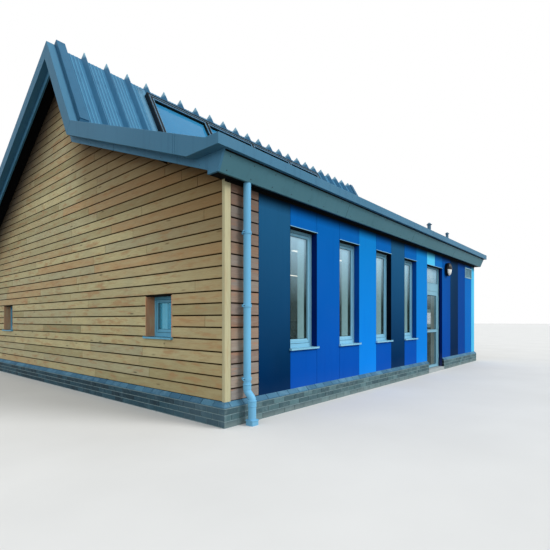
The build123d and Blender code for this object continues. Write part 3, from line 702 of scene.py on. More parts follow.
def roof_shade_group() -> bpy.types.NodeTree:
    """Painted shade under the roof: how near a gable's surface lies to the roof above it.

    The depth under a roof line is its slope times Y plus its level minus Z. The roof is the higher of the
    first two lines, cut off by the third. The depth under it, divided by the reach, turns into a shade that
    is 1 at the roof and 0 one reach below it. The third line's depth gives the rear shade in the same way.

    Returns:
        The group.
    """
    tree, graph, given, made = new_group(
        "shelter", {"Vector": ("Vector", None), "Slopes": ("Vector", None), "Levels": ("Vector", None),
                    "Reach": ("Float", 1.0)}, {"Shade": "Float", "Rear": "Float"})
    y, z = graph.axis(given.outputs["Vector"], "Y"), graph.axis(given.outputs["Vector"], "Z")
    low, steep, rear = [
        graph.math("SUBTRACT", graph.math("ADD", graph.times(y, graph.axis(given.outputs["Slopes"], name)),
                                          graph.axis(given.outputs["Levels"], name)), z) for name in "XYZ"]
    roof = graph.math("MINIMUM", graph.math("MAXIMUM", low, steep), rear)
    for key, depth in (("Shade", roof), ("Rear", rear)):
        share = graph.math("DIVIDE", depth, given.outputs["Reach"])
        graph.fill(made, {key: graph.spread(share, 0.0, 1.0, 1.0, 0.0)})
    return tree


def placed_group(graph: Graph, make: Callable[[], bpy.types.NodeTree],
                 inputs: dict[str | int, object]) -> bpy.types.NodeOutputs:
    """Adds a shared group to a material, and builds the group the first time that it is asked for.

    Args:
        graph: The material's graph.
        make: Function that builds the group.
        inputs: For each of the group's inputs, a value or the output socket to join to it.

    Returns:
        The group's outputs.
    """
    name = make.__name__
    if name not in GROUPS:
        GROUPS[name] = make()
    return graph.add("ShaderNodeGroup", inputs, node_tree=GROUPS[name]).outputs


def start_material(name: str) -> tuple[bpy.types.Material, Graph, bpy.types.Node]:
    """A new material with a Principled BSDF joined to its output."""
    material = bpy.data.materials.new(name)
    material.use_nodes = True
    graph = Graph(material.node_tree)
    return material, graph, material.node_tree.nodes["Principled BSDF"]


# Finishes

class Grained(Enum):
    """Which way the fibres of a board run, as the turn that brings that axis to X."""

    ALONG_X = (0.0, 0.0, 0.0)
    ALONG_Y = (0.0, 0.0, math.pi / 2)
    ALONG_Z = (0.0, math.pi / 2, 0.0)


@dataclass(frozen=True)
class PaintedMetal:
    """Coated sheet metal: a paint colour that drifts, orange peel, dust, rain streaks and ground splash."""

    name: str
    paint: str
    shade: str
    dust: str = "8C9498"
    roughness: float = 0.4
    specular: float = 0.25
    streaks: float = 0.3
    grime: float = 0.16
    splash: float = 0.12

    def placed(self, graph: Graph, place: bpy.types.NodeSocket,
               colour: bpy.types.NodeSocket) -> bpy.types.NodeSocket:
        """The paint as it looks at its place on the building, which here changes nothing."""
        return colour

    def build(self) -> bpy.types.Material:
        """Makes the material.

        Colour is paint mixed to shade by slow drift, changed by its place, then dulled by streaks, dust and
        splash. Roughness rises with dust. Height is fine peel and a slow ripple.

        Returns:
            The material.
        """
        material, graph, surface = start_material(self.name)
        place = graph.place()
        weather = placed_group(graph, weather_group, {"Vector": place, "Splash height": 0.55})
        colour = graph.mix(graph.spread(weather["Drift"], 0.3, 0.7), linear(self.paint), linear(self.shade))
        colour = self.placed(graph, place, colour)
        colour = graph.over(colour, weather["Streaks"], self.shade, self.streaks, "MULTIPLY")
        colour = graph.over(colour, weather["Dust"], self.dust, self.grime)
        colour = graph.over(colour, weather["Splash"], self.dust, self.splash)
        rough = graph.spread(weather["Dust"], 0.0, 1.0, self.roughness, min(self.roughness + 0.2, 1.0))
        ripple = graph.noise(graph.stretched(place, (1.0, 1.0, 0.35)), 3.2, 1.0)
        height = graph.math("ADD", graph.times(graph.noise(place, 420.0, 2.0), 0.06), ripple)
        graph.fill(surface, {"Base Color": colour, "Roughness": rough, "Specular IOR Level": self.specular,
                             "Normal": graph.bump(height, 0.25, 0.002)})
        return material


@dataclass(frozen=True)
class Laminate(PaintedMetal):
    """Clean satin laminate with painted light: sky reflection up its height, shade at the far end and under
    the soffit.
    """

    specular: float = 0.002
    streaks: float = 0.1
    grime: float = 0.04
    splash: float = 0.04
    # Colour and heights of the painted sky reflection, then the painted shade at the far end and under the
    # soffit.
    sky_reflection: str = ""
    sky_reflection_from: float = 0.5
    sky_reflection_to: float = 2.7
    far_shade: str = "02102A"
    far_shade_from: float = 1.5
    far_shade_to: float = 3.4
    far_shade_share: float = 0.35
    soffit: float = 2.99
    soffit_shadow: str = "020508"
    soffit_shadow_share: float = 0.9

    def placed(self, graph: Graph, place: bpy.types.NodeSocket,
               colour: bpy.types.NodeSocket) -> bpy.types.NodeSocket:
        """Paints light and shade onto the paint at its place on the wall.

        With height it turns to the colour of a painted sky reflection, less so at the far end, where painted
        shade darkens it. Over the last 20 cm below the soffit a painted shadow turns it nearly black.

        Args:
            graph: The material's graph.
            place: Object coordinates.
            colour: The paint.

        Returns:
            The paint in the light of its place.
        """
        height = graph.axis(place, "Z")
        # Painted shade grows towards the far end, and the painted sky reflection rises with height.
        far = graph.spread(graph.axis(place, "X"), self.far_shade_from, self.far_shade_to)
        rise = graph.times(graph.spread(height, self.sky_reflection_from, self.sky_reflection_to),
                           graph.spread(far, 0.0, 1.0, 1.0, 0.3))
        # Painted shadow over the last 20 cm below the soffit.
        shaded = graph.spread(height, self.soffit - 0.2, self.soffit - 0.03, 0.0, self.soffit_shadow_share)
        colour = graph.over(colour, rise, self.sky_reflection)
        colour = graph.over(colour, far, self.far_shade, self.far_shade_share)
        return graph.over(colour, shaded, self.soffit_shadow)


@dataclass(frozen=True)
class CrestedMetal(PaintedMetal):
    """Coated roof metal that is paler on the crests of the ribs at the ridge."""

    crest: str = ""
    crest_from: float = 6.46
    crest_to: float = 6.52
    crest_share: float = 0.7

    def placed(self, graph: Graph, place: bpy.types.NodeSocket,
               colour: bpy.types.NodeSocket) -> bpy.types.NodeSocket:
        """The paint, mixed to the crest's colour with height."""
        peak = graph.spread(graph.axis(place, "Z"), self.crest_from, self.crest_to, 0.0, self.crest_share)
        return graph.over(colour, peak, self.crest)


@dataclass(frozen=True)
class SawnTimber:
    """Softwood boards: each board has its own tone, with rings, fibres and knots; edges darkened by stain and
    by painted shade, and painted shade under the roof.
    """

    name: str
    tones: tuple[str, ...]
    late_wood: str
    knot: str
    runs: Grained
    roughness: float = 0.72
    stain: str = "9A987E"
    warm: str = "A87C54"
    warm_share: float = 0.6
    pale: str = "BDBA92"
    pale_share: float = 0.3
    cover: float = 0.0
    foot: float = 0.0
    # Darkening at the board edges: partly stain, partly painted shade at the gaps between rows.
    edge_stain_and_shade_from: float = 0.4
    edge_stain_and_shade_to: float = 0.46
    edge_stain_and_shade_share: float = 0.7
    roof: tuple[Triple, Triple] | None = None
    # Colour, reach and share of the painted shade under the roof.
    roof_shade: str = "5E4218"
    roof_shade_reach: float = 1.6
    roof_shade_share: float = 0.92
    # Nearly black painted shadow under the rear verge.
    dark: str = "0C0906"
    rear_shadow_from: float = 0.42
    rear_shadow_to: float = 0.88
    rear_shadow_share: float = 0.88
    # Warm tan laid towards the front corner.
    corner_tint: str = "AE9264"
    corner_tint_share: float = 0.3
    corner_tint_from: float = -2.6
    corner_tint_to: float = -4.4

    def wood(self, graph: Graph, place: bpy.types.NodeSocket, grain: bpy.types.NodeOutputs,
             tone: bpy.types.NodeSocket) -> bpy.types.NodeSocket:
        """The boards' own colour.

        The board's tone picks its colour from the row of tones; rings and fibres darken it towards late wood,
        slow stains grey it, clouds along the board turn it warm or pale, and knots darken it.

        Args:
            graph: The material's graph.
            place: Object coordinates.
            grain: Outputs of the grain group.
            tone: The board's tone.

        Returns:
            The colour.
        """
        colour = graph.over(graph.ramp(tone, self.tones), grain["Rings"], self.late_wood, 0.14)
        colour = graph.over(colour, graph.spread(grain["Fibres"], 0.35, 0.7, 0.0, 0.3), self.late_wood)
        stain = graph.spread(graph.noise(place, 1.3, 4.0, 0.6), 0.45, 0.75, 0.0, 0.4)
        colour = graph.over(colour, stain, self.stain)
        colour = graph.over(colour, graph.spread(grain["Clouds"], 0.53, 0.66, 0.0, self.warm_share),
                            self.warm)
        colour = graph.over(colour, graph.spread(grain["Clouds"], 0.48, 0.34, 0.0, self.pale_share),
                            self.pale)
        return graph.over(colour, grain["Knots"], self.knot, 0.6)

    def edges(self, graph: Graph, place: bpy.types.NodeSocket,
              colour: bpy.types.NodeSocket) -> bpy.types.NodeSocket:
        """Darkens the boards' upper and lower edges, partly as stain and partly as painted shade at the gaps
        between rows.

        The height above the foot, divided by the cover, counts the rows. How far its fraction is from a half
        says how near the edge is.

        Args:
            graph: The material's graph.
            place: Object coordinates.
            colour: The boards' colour.

        Returns:
            The colour with dark edges.
        """
        rows = graph.math("DIVIDE", graph.math("SUBTRACT", graph.axis(place, "Z"), self.foot), self.cover)
        off = graph.math("ABSOLUTE", graph.math("SUBTRACT", graph.math("FRACT", rows), 0.5))
        # Stain and painted shade near each gap between rows.
        edge = graph.spread(off, self.edge_stain_and_shade_from, self.edge_stain_and_shade_to, 0.0, self.edge_stain_and_shade_share)
        return graph.over(colour, edge, self.knot)

    def under_roof(self, graph: Graph, place: bpy.types.NodeSocket,
                   colour: bpy.types.NodeSocket) -> bpy.types.NodeSocket:
        """Turns boards towards a warm tan near the front corner, and paints shade under the roof: browner and
        darker there, and nearly black under the rear verge.

        Args:
            graph: The material's graph.
            place: Object coordinates.
            colour: The boards' colour.

        Returns:
            The colour with the painted shade under the roof.
        """
        shade = placed_group(graph, roof_shade_group, {"Vector": place, "Slopes": self.roof[0],
                                                    "Levels": self.roof[1], "Reach": self.roof_shade_reach})
        # Warm tan towards the front corner.
        near = graph.spread(graph.axis(place, "Y"), self.corner_tint_from, self.corner_tint_to, 0.0, self.corner_tint_share)
        colour = graph.over(colour, near, self.corner_tint)
        # Painted shade under the roof.
        colour = graph.over(colour, shade["Shade"], self.roof_shade, self.roof_shade_share)
        # Painted shadow under the rear verge, nearly black.
        dark = graph.spread(shade["Rear"], self.rear_shadow_from, self.rear_shadow_to, 0.0, self.rear_shadow_share)
        return graph.over(colour, dark, self.dark)

    def build(self) -> bpy.types.Material:
        """Makes the material: the wood's colour, edges and painted shade under the roof, with rings and
        fibres together as height.

        Returns:
            The material.
        """
        material, graph, surface = start_material(self.name)
        place, tone = graph.place(), graph.tone()
        turned = graph.add("ShaderNodeMapping", {"Vector": place, "Rotation": self.runs.value},
                           vector_type="POINT").outputs[0]
        grain = placed_group(graph, grain_group, {"Vector": turned, "Tone": tone})
        colour = self.wood(graph, place, grain, tone)
        if self.cover:
            colour = self.edges(graph, place, colour)
        if self.roof is not None:
            colour = self.under_roof(graph, place, colour)
        rough = graph.spread(grain["Fibres"], 0.3, 0.7, self.roughness - 0.08, self.roughness + 0.1)
        graph.fill(surface, {"Base Color": colour, "Roughness": rough, "Specular IOR Level": 0.25,
                             "Normal": graph.bump(grain["Height"], 0.35, 0.0015)})
        return material


@dataclass(frozen=True)
class Masonry:
    """Fired brick, mortar, concrete or plaster: a tone for each unit, pits, blotches and pale bloom."""

    name: str
    tones: tuple[str, ...]
    bloom: str
    roughness: float = 0.85
    grit: float = 220.0
    depth: float = 0.002
    bloom_share: float = 0.3
    bloom_scale: float = 3.4
    bloom_at: Triple | None = None
    bloom_reach: float = 1.2
    foot_height: float = 0.0
    foot: str = "2A3438"

    def build(self) -> bpy.types.Material:
        """Makes the material.

        Colour is the unit's tone from the row of tones, mottled by fine noise, with pale bloom in patches and
        round one point, and a foot of another colour that fades with height. Height is coarse pits with grit.

        Returns:
            The material.
        """
        material, graph, surface = start_material(self.name)
        place = graph.place()
        speckle = graph.noise(place, self.grit, 4.0, 0.7)
        mottle = graph.times(graph.noise(place, 14.0, 4.0, 0.6), 0.35)
        colour = graph.ramp(graph.math("ADD", graph.times(graph.tone(), 0.8), mottle), self.tones)
        colour = graph.over(colour, graph.spread(speckle, 0.4, 0.75, 0.0, 0.3), self.bloom)
        patch = graph.spread(graph.noise(place, self.bloom_scale, 6.0, 0.65), 0.52, 0.72, 0.0,
                             self.bloom_share)
        colour = graph.over(colour, patch, self.bloom)
        if self.bloom_at is not None:
            away = graph.add("ShaderNodeVectorMath", {0: place, 1: self.bloom_at}, operation="DISTANCE")
            reach = self.bloom_reach
            round_it = graph.spread(away.outputs["Value"], reach, reach * 0.4, 0.0, 0.25)
            colour = graph.over(colour, round_it, self.bloom)
        if self.foot_height:
            ragged = graph.math("ADD", graph.axis(place, "Z"), graph.times(speckle, 0.08))
            foot = graph.spread(ragged, self.foot_height + 0.08, 0.04, 0.0, 0.6)
            colour = graph.over(colour, foot, self.foot)
        height = graph.math("ADD", graph.times(speckle, 0.4), graph.noise(place, self.grit * 0.25, 5.0, 0.7))
        rough = graph.spread(speckle, 0.2, 0.8, self.roughness - 0.1, self.roughness + 0.08)
        graph.fill(surface, {"Base Color": colour, "Roughness": rough, "Specular IOR Level": 0.25,
                             "Normal": graph.bump(height, 0.5, self.depth)})
        return material


@dataclass(frozen=True)
class WallFabric:
    """Walls and roof decks: dark membrane outside the walls, painted shade under the decks' overhangs,
    painted lining inside the room.
    """

    name: str
    # Colour outside the room: dark membrane on the walls, painted shade under the decks.
    sheet: str
    plaster: str
    room: str
    half_length: float
    half_depth: float
    room_depth: float
    dado: str = "5E5444"
    dado_height: float = 1.25

    def build(self) -> bpy.types.Material:
        """Makes the material.

        It is dark where |x| or |y| is past the half sizes: membrane on the walls, painted shade under the
        decks. It is pale plaster in the window reveals, where |y| is past the room's depth, and the room's
        own colour inside, darker than the plaster on the walls as painted shade, over a darker dado.

        Returns:
            The material.
        """
        material, graph, surface = start_material(self.name)
        place = graph.place()
        away = [graph.math("ABSOLUTE", graph.axis(place, name)) for name in "XY"]
        past_x = graph.math("GREATER_THAN", away[0], self.half_length)
        outside = graph.math("MAXIMUM", past_x, graph.math("GREATER_THAN", away[1], self.half_depth))
        mottle = graph.spread(graph.noise(place, 5.0, 5.0, 0.6), 0.35, 0.7)
        low = graph.math("LESS_THAN", graph.axis(place, "Z"), self.dado_height)
        room = graph.mix(low, linear(self.room), linear(self.dado))
        inside = graph.over(room, graph.math("GREATER_THAN", away[1], self.room_depth), self.plaster)
        inside = graph.over(inside, mottle, "D6DAD4", 0.15)
        # Outside colour: membrane on the walls, painted shade under the decks.
        colour = graph.over(inside, outside, self.sheet)
        graph.fill(surface, {"Base Color": colour, "Roughness": graph.spread(mottle, 0.0, 1.0, 0.75, 0.9),
                             "Normal": graph.bump(graph.noise(place, 260.0, 3.0), 0.2, 0.0006),
                             "Specular IOR Level": 0.05})
        return material


@dataclass(frozen=True)
class Glazing:
    """Sealed glass unit: the room shows behind it under a pale painted sky reflection, with faint water
    marks.
    """

    name: str
    foot: str
    head: str
    foot_reflection: float
    head_reflection: float
    foot_height: float = 1.0
    head_height: float = 2.5
    side: str = ""
    side_from: float = 0.0
    side_reflection: float = 0.4
    glow: float = 0.0

    def build(self) -> bpy.types.Material:
        """Makes the material.

        Colour and the veil of painted sky reflection run from foot to head with height; where |x| is past
        side_from, the side colour takes over and the veil is thicker. Alpha is the veil, with a little more
        in the water marks, which also raise the roughness. The veil glows a little, as painted light.

        Returns:
            The material.
        """
        material, graph, surface = start_material(self.name)
        place = graph.place()
        marks = graph.spread(graph.noise(graph.stretched(place, (4.0, 4.0, 1.2)), 2.0, 5.0, 0.6), 0.45, 0.8)
        rise = graph.spread(graph.axis(place, "Z"), self.foot_height, self.head_height)
        colour = graph.mix(rise, linear(self.foot), linear(self.head))
        # Painted sky reflection, thicker towards the head.
        veil = graph.spread(rise, 0.0, 1.0, self.foot_reflection, self.head_reflection)
        alpha = graph.math("ADD", veil, graph.times(marks, 0.06))
        if self.side:
            past = graph.math("GREATER_THAN", graph.math("ABSOLUTE", graph.axis(place, "X")), self.side_from)
            colour = graph.over(colour, past, self.side)
            alpha = graph.math("ADD", alpha, graph.times(past, self.side_reflection))
        graph.fill(surface, {"Base Color": colour, "Alpha": alpha, "Specular IOR Level": 0.2,
                             "Roughness": graph.spread(marks, 0.0, 1.0, 0.03, 0.1),
                             "Normal": graph.bump(graph.noise(place, 0.9, 1.0), 0.05, 0.002)})
        # The painted sky reflection glows, as painted light.
        if self.glow:
            graph.fill(surface, {"Emission Color": colour, "Emission Strength": self.glow})
        return material


@dataclass(frozen=True)
class Plain:
    """Small fittings: rubber, steel or opal plastic, with fine noise in colour and roughness."""

    name: str
    colour: str
    second: str
    roughness: float
    metallic: float = 0.0
    glow: float = 0.0
    scale: float = 90.0
    specular: float = 0.4

    def build(self) -> bpy.types.Material:
        """Makes the material: two near colours mixed by fine noise, which also moves the roughness.

        Returns:
            The material.
        """
        material, graph, surface = start_material(self.name)
        fine = graph.noise(graph.place(), self.scale, 4.0, 0.6)
        colour = graph.mix(graph.spread(fine, 0.35, 0.7), linear(self.colour), linear(self.second))
        rough = graph.spread(fine, 0.2, 0.8, max(self.roughness - 0.06, 0.02), self.roughness + 0.1)
        graph.fill(surface, {"Base Color": colour, "Roughness": rough, "Metallic": self.metallic,
                             "Specular IOR Level": self.specular, "Normal": graph.bump(fine, 0.2, 0.0004)})
        # Glow: the lamp tubes' own light, and painted light on the reveal lining.
        if self.glow:
            graph.fill(surface, {"Emission Color": colour, "Emission Strength": self.glow})
        return material


@dataclass
class Palette:
    """Every finish of the building, built once and found by its name."""

    plan: "Plan"
    made: dict[str, bpy.types.Material] = field(default_factory=dict)

    def panels(self) -> list[object]:
        """Coloured laminate of the front bays, and darker copies for their returns into the reveals, as
        painted shade.
        """
        # The returns are the panel colours darkened, as painted shade in the reveals.
        returns = (("navy", "02101E", "020B16"), ("royal", "042264", "031C56"),
                   ("bright", "0A4CA0", "084490"))
        return [
            Laminate("navy_panel", "042E5A", "03284E", sky_reflection="205880"),
            Laminate("royal_panel", "0A54B8", "0A4FAE", sky_reflection="0A62B2"),
            Laminate("bright_panel", "1288EE", "1080E2", sky_reflection="107FCC"),
            Laminate("mid_panel", "0E70C8", "0D68BE", sky_reflection="126EBC", far_shade_share=0.05),
            Laminate("cyan_panel", "52C4F0", "4ABAE8", sky_reflection="58C8F2", far_shade_share=0.0),
            *(PaintedMetal(f"{name}_return", paint, shade, specular=0.002, grime=0.04)
              for name, paint, shade in returns),
        ]

    def metals(self) -> list[object]:
        """Coated metals of the roof edges, roof, windows, door and fittings."""
        return [
            PaintedMetal("fascia_metal", "487C9A", "41728E", roughness=0.5, specular=0.08, streaks=0.2),
            PaintedMetal("cant_metal", "52808E", "4A7682", roughness=0.5, specular=0.08, streaks=0.15),
            # Near-black soffits: painted shade under the eaves.
            PaintedMetal("soffit_metal", "0A0F12", "070A0C", roughness=0.6, specular=0.03, grime=0.05),
            PaintedMetal("cap_metal", "386A8A", "32617E", roughness=0.5, specular=0.08, streaks=0.2),
            CrestedMetal("roof_metal", "427A9C", "3A7092", roughness=0.45, specular=0.1, crest="9CC4D4"),
            # Swages lighter than the roof as painted highlight, and the darker roof_line as painted shadow in
            # the creases.
            PaintedMetal("swage_highlight", "5290B2", "4A86A8", roughness=0.45, specular=0.1),
            PaintedMetal("roof_line", "275A7A", "225270", roughness=0.5, specular=0.08),
            PaintedMetal("flashing_metal", "5E92B0", "5688A6", roughness=0.45, specular=0.15),
            PaintedMetal("rooflight_metal", "0E1B26", "0A151E", specular=0.1),
            PaintedMetal("rooflight_trim", "6E9CB8", "6290AC", roughness=0.35, specular=0.1),
            PaintedMetal("window_metal", "88C2DC", "7CB6D0", roughness=0.35, specular=0.12),
            PaintedMetal("gable_window_metal", "66A8C4", "5A9CB8", roughness=0.35, specular=0.1),
            PaintedMetal("door_metal", "80B4C8", "74A8BE", roughness=0.35, specular=0.1),
            PaintedMetal("pipe_metal", "74BCE2", "68AED6", roughness=0.35, specular=0.15),
            PaintedMetal("vent_metal", "5A7C90", "4E7084", roughness=0.45, specular=0.15),
            PaintedMetal("louvre_metal", "86B2C2", "78A4B6", roughness=0.45, specular=0.1),
            PaintedMetal("light_body", "080B0E", "0D1115", roughness=0.35, specular=0.2),
        ]

    def woods(self) -> list[object]:
        """Boards of the gables and returns, posts and reveal linings."""
        plan = self.plan
        light_boards = ("A0966E", "B4AA80", "C8BC8E", "B6B08E", "D2C696", "C0B68C", "C4A478", "BAB288")
        return_boards = ("86746A", "9A8474", "8E6E5A", "A69686", "8A8682", "A2866E")
        eaves = ((0.0, 0.0, 0.0), (plan.soffit, plan.soffit, 9.0))
        rows = {"cover": 0.15, "foot": plan.plinth_top}
        return [
            # Gable boards take painted shade under the roof lines.
            SawnTimber("timber", light_boards, "74683F", "32260F", Grained.ALONG_Y,
                       roof=plan.roof_lines(), **rows),
            # Return boards take painted shade under the soffit.
            SawnTimber("return_timber", return_boards, "5E4E44", "2E211A", Grained.ALONG_X, stain="8A8A86",
                       warm="A87C60", pale="A29C92", roof=eaves, roof_shade="3E2C22", roof_shade_share=0.6,
                       corner_tint_share=0.0, **rows),
            SawnTimber("post_timber", ("C2BC98", "B8B28C"), "9C9068", "5E4C2C", Grained.ALONG_Z,
                       stain="A4A286", warm_share=0.2),
            SawnTimber("lining_timber", ("C8906A", "D29A74"), "9A6444", "5A3A24", Grained.ALONG_Z),
        ]

    def masonry(self) -> list[object]:
        """Bricks, mortar, concrete, and the walls and decks."""
        plan = self.plan
        sizes = (plan.right - 0.12, plan.rear - 0.12, plan.rear - plan.cladding - plan.wall + 0.005)
        return [
            Masonry("brick", ("0A1E28", "122C38", "1C3C4A", "284C5A", "0E2632"), "6A8490",
                    bloom_at=(plan.left, plan.front, 0.15), bloom_scale=8.0),
            Masonry("front_brick", ("243E48", "325058", "426268", "54767C", "2A4650"), "8EA2A6",
                    bloom_share=0.4, bloom_scale=8.0, foot_height=0.06, foot="8E9C9A"),
            # The sloping top course's blue cast is a painted sky reflection.
            Masonry("cant_brick_sky_reflection", ("265472", "30607C", "3C6C88", "487A94"), "7CA2B8", bloom_share=0.4,
                    bloom_scale=5.0),
            Masonry("mortar", ("667E84", "7C9498"), "98ACAE", grit=300.0, bloom_scale=6.0),
            Masonry("concrete", ("9EA8AA", "B0B8B8"), "C4CCCA", grit=160.0, depth=0.001),
            # The room's walls are darker than the plaster, as painted shade.
            WallFabric("lining", "0A1016", "C8D4CC", "8A8474", *sizes),
            # Near-black outside colour: painted shade under the verges and eaves.
            WallFabric("roof_board", "040506", "C8CCC6", "C8CCC6", *sizes),
        ]

    def sundries(self) -> list[object]:
        """Glass, rubber, steel and the lamps."""
        return [
            # Pale head, side colour and glow of the glass are painted sky reflection.
            Glazing("glass", "6A8A8C", "B4DCF0", 0.06, 0.5, foot_height=1.5, head_height=2.6, side="52B0D2",
                    side_from=self.plan.right - 0.25, side_reflection=0.3, glow=0.25),
            # Pale inner reveal lining that glows, as painted light.
            Plain("reveal_lining", "A0C8CC", "98C0C4", 0.6, glow=0.28, scale=20.0),
            # Nearly opaque blue rooflight panes: painted sky reflection.
            Glazing("rooflight_pane", "2C7EAC", "3688B6", 0.84, 0.84, foot_height=4.9, head_height=6.2),
            # Near-black for the packing behind joints, and as painted shade in the reveal heads and painted
            # shadow under the eaves trims and soffits.
            Plain("joint_and_shade_black", "0B0D0E", "14110C", 0.9, specular=0.05),
            Plain("board_gap", "100A04", "1A1206", 0.9, specular=0.0),
            Plain("rubber", "06120F", "0A1A16", 0.7, specular=0.1),
            Plain("fixing", "1C2A32", "142026", 0.4),
            Plain("steel", "A8ACAE", "8E9395", 0.3, 1.0),
            Plain("light_lens", "F2F3EE", "E6E8E4", 0.3, scale=30.0),
            Plain("lamp_tube", "FFF2D8", "FFF6E4", 0.4, glow=1.6, scale=10.0),
        ]

    def build(self) -> None:
        """Builds every finish: the record's material slots and those of the added pieces."""
        for finish in self.panels() + self.metals() + self.woods() + self.masonry() + self.sundries():
            self.made[finish.name] = finish.build()

    def several(self, *names: str) -> list[bpy.types.Material]:
        """The materials of those names, in that order."""
        return [self.made[name] for name in names]


OWN_FINISHES = {"rooflight_glass": "rooflight_pane", "eaves_fascias": "cant_metal",
                "louvre_vent": "louvre_metal", "verge_caps": "cap_metal"}


def dress_nodes(frame: dict[str, object], palette: Palette) -> None:
    """Gives each CAD node the finish of its material slot in the record, or its own where it has one."""
    for subpart in frame["record"]["subparts"]:
        name = OWN_FINISHES.get(subpart["node"], subpart["material_slot"])
        for slot in frame["nodes"][subpart["node"]].material_slots:
            slot.material = palette.made[name]


# The building's own sizes

@dataclass(frozen=True)
class Line:
    """A roof line in the Y-Z plane: height = slope * y + level."""

    slope: float
    level: float

    @classmethod
    def through(cls, point: Pair, slope: float) -> "Line":
        """The line of that slope through a (y, z) point."""
        return cls(slope, point[1] - slope * point[0])

    def lowered(self, drop: float) -> "Line":
        """The line moved down, square to itself."""
        return Line(self.slope, self.level - drop * math.hypot(1.0, self.slope))

    def height(self, y: Floats | float) -> Floats | float:
        """Height at y."""
        return self.slope * y + self.level

    def where(self, z: Floats | float) -> Floats | float:
        """The y at which the line has height z."""
        return (z - self.level) / self.slope

    def beyond(self, point: Pair, distance: float) -> Pair:
        """A point of the line, moved along it."""
        run = distance / math.hypot(1.0, self.slope)
        return point[0] + run, point[1] + run * self.slope

    def crossing(self, other: "Line") -> Pair:
        """The point shared with another line."""
        y = (other.level - self.level) / (self.slope - other.slope)
        return y, self.height(y)


class Bay(Enum):
    """What a bay of the front holds: a full panel of one colour, a tall window or the door."""

    NAVY = "navy"
    ROYAL = "royal"
    BRIGHT = "bright"
    MID = "mid"
    WINDOW = "window"
    DOOR = "door"


FRONT_BAYS = (Bay.NAVY, Bay.WINDOW, Bay.ROYAL, Bay.WINDOW, Bay.BRIGHT, Bay.WINDOW, Bay.NAVY, Bay.WINDOW,
              Bay.BRIGHT, Bay.DOOR, Bay.ROYAL, Bay.NAVY, Bay.ROYAL, Bay.MID)
RETURNS = (Bay.NAVY, Bay.ROYAL, Bay.BRIGHT)


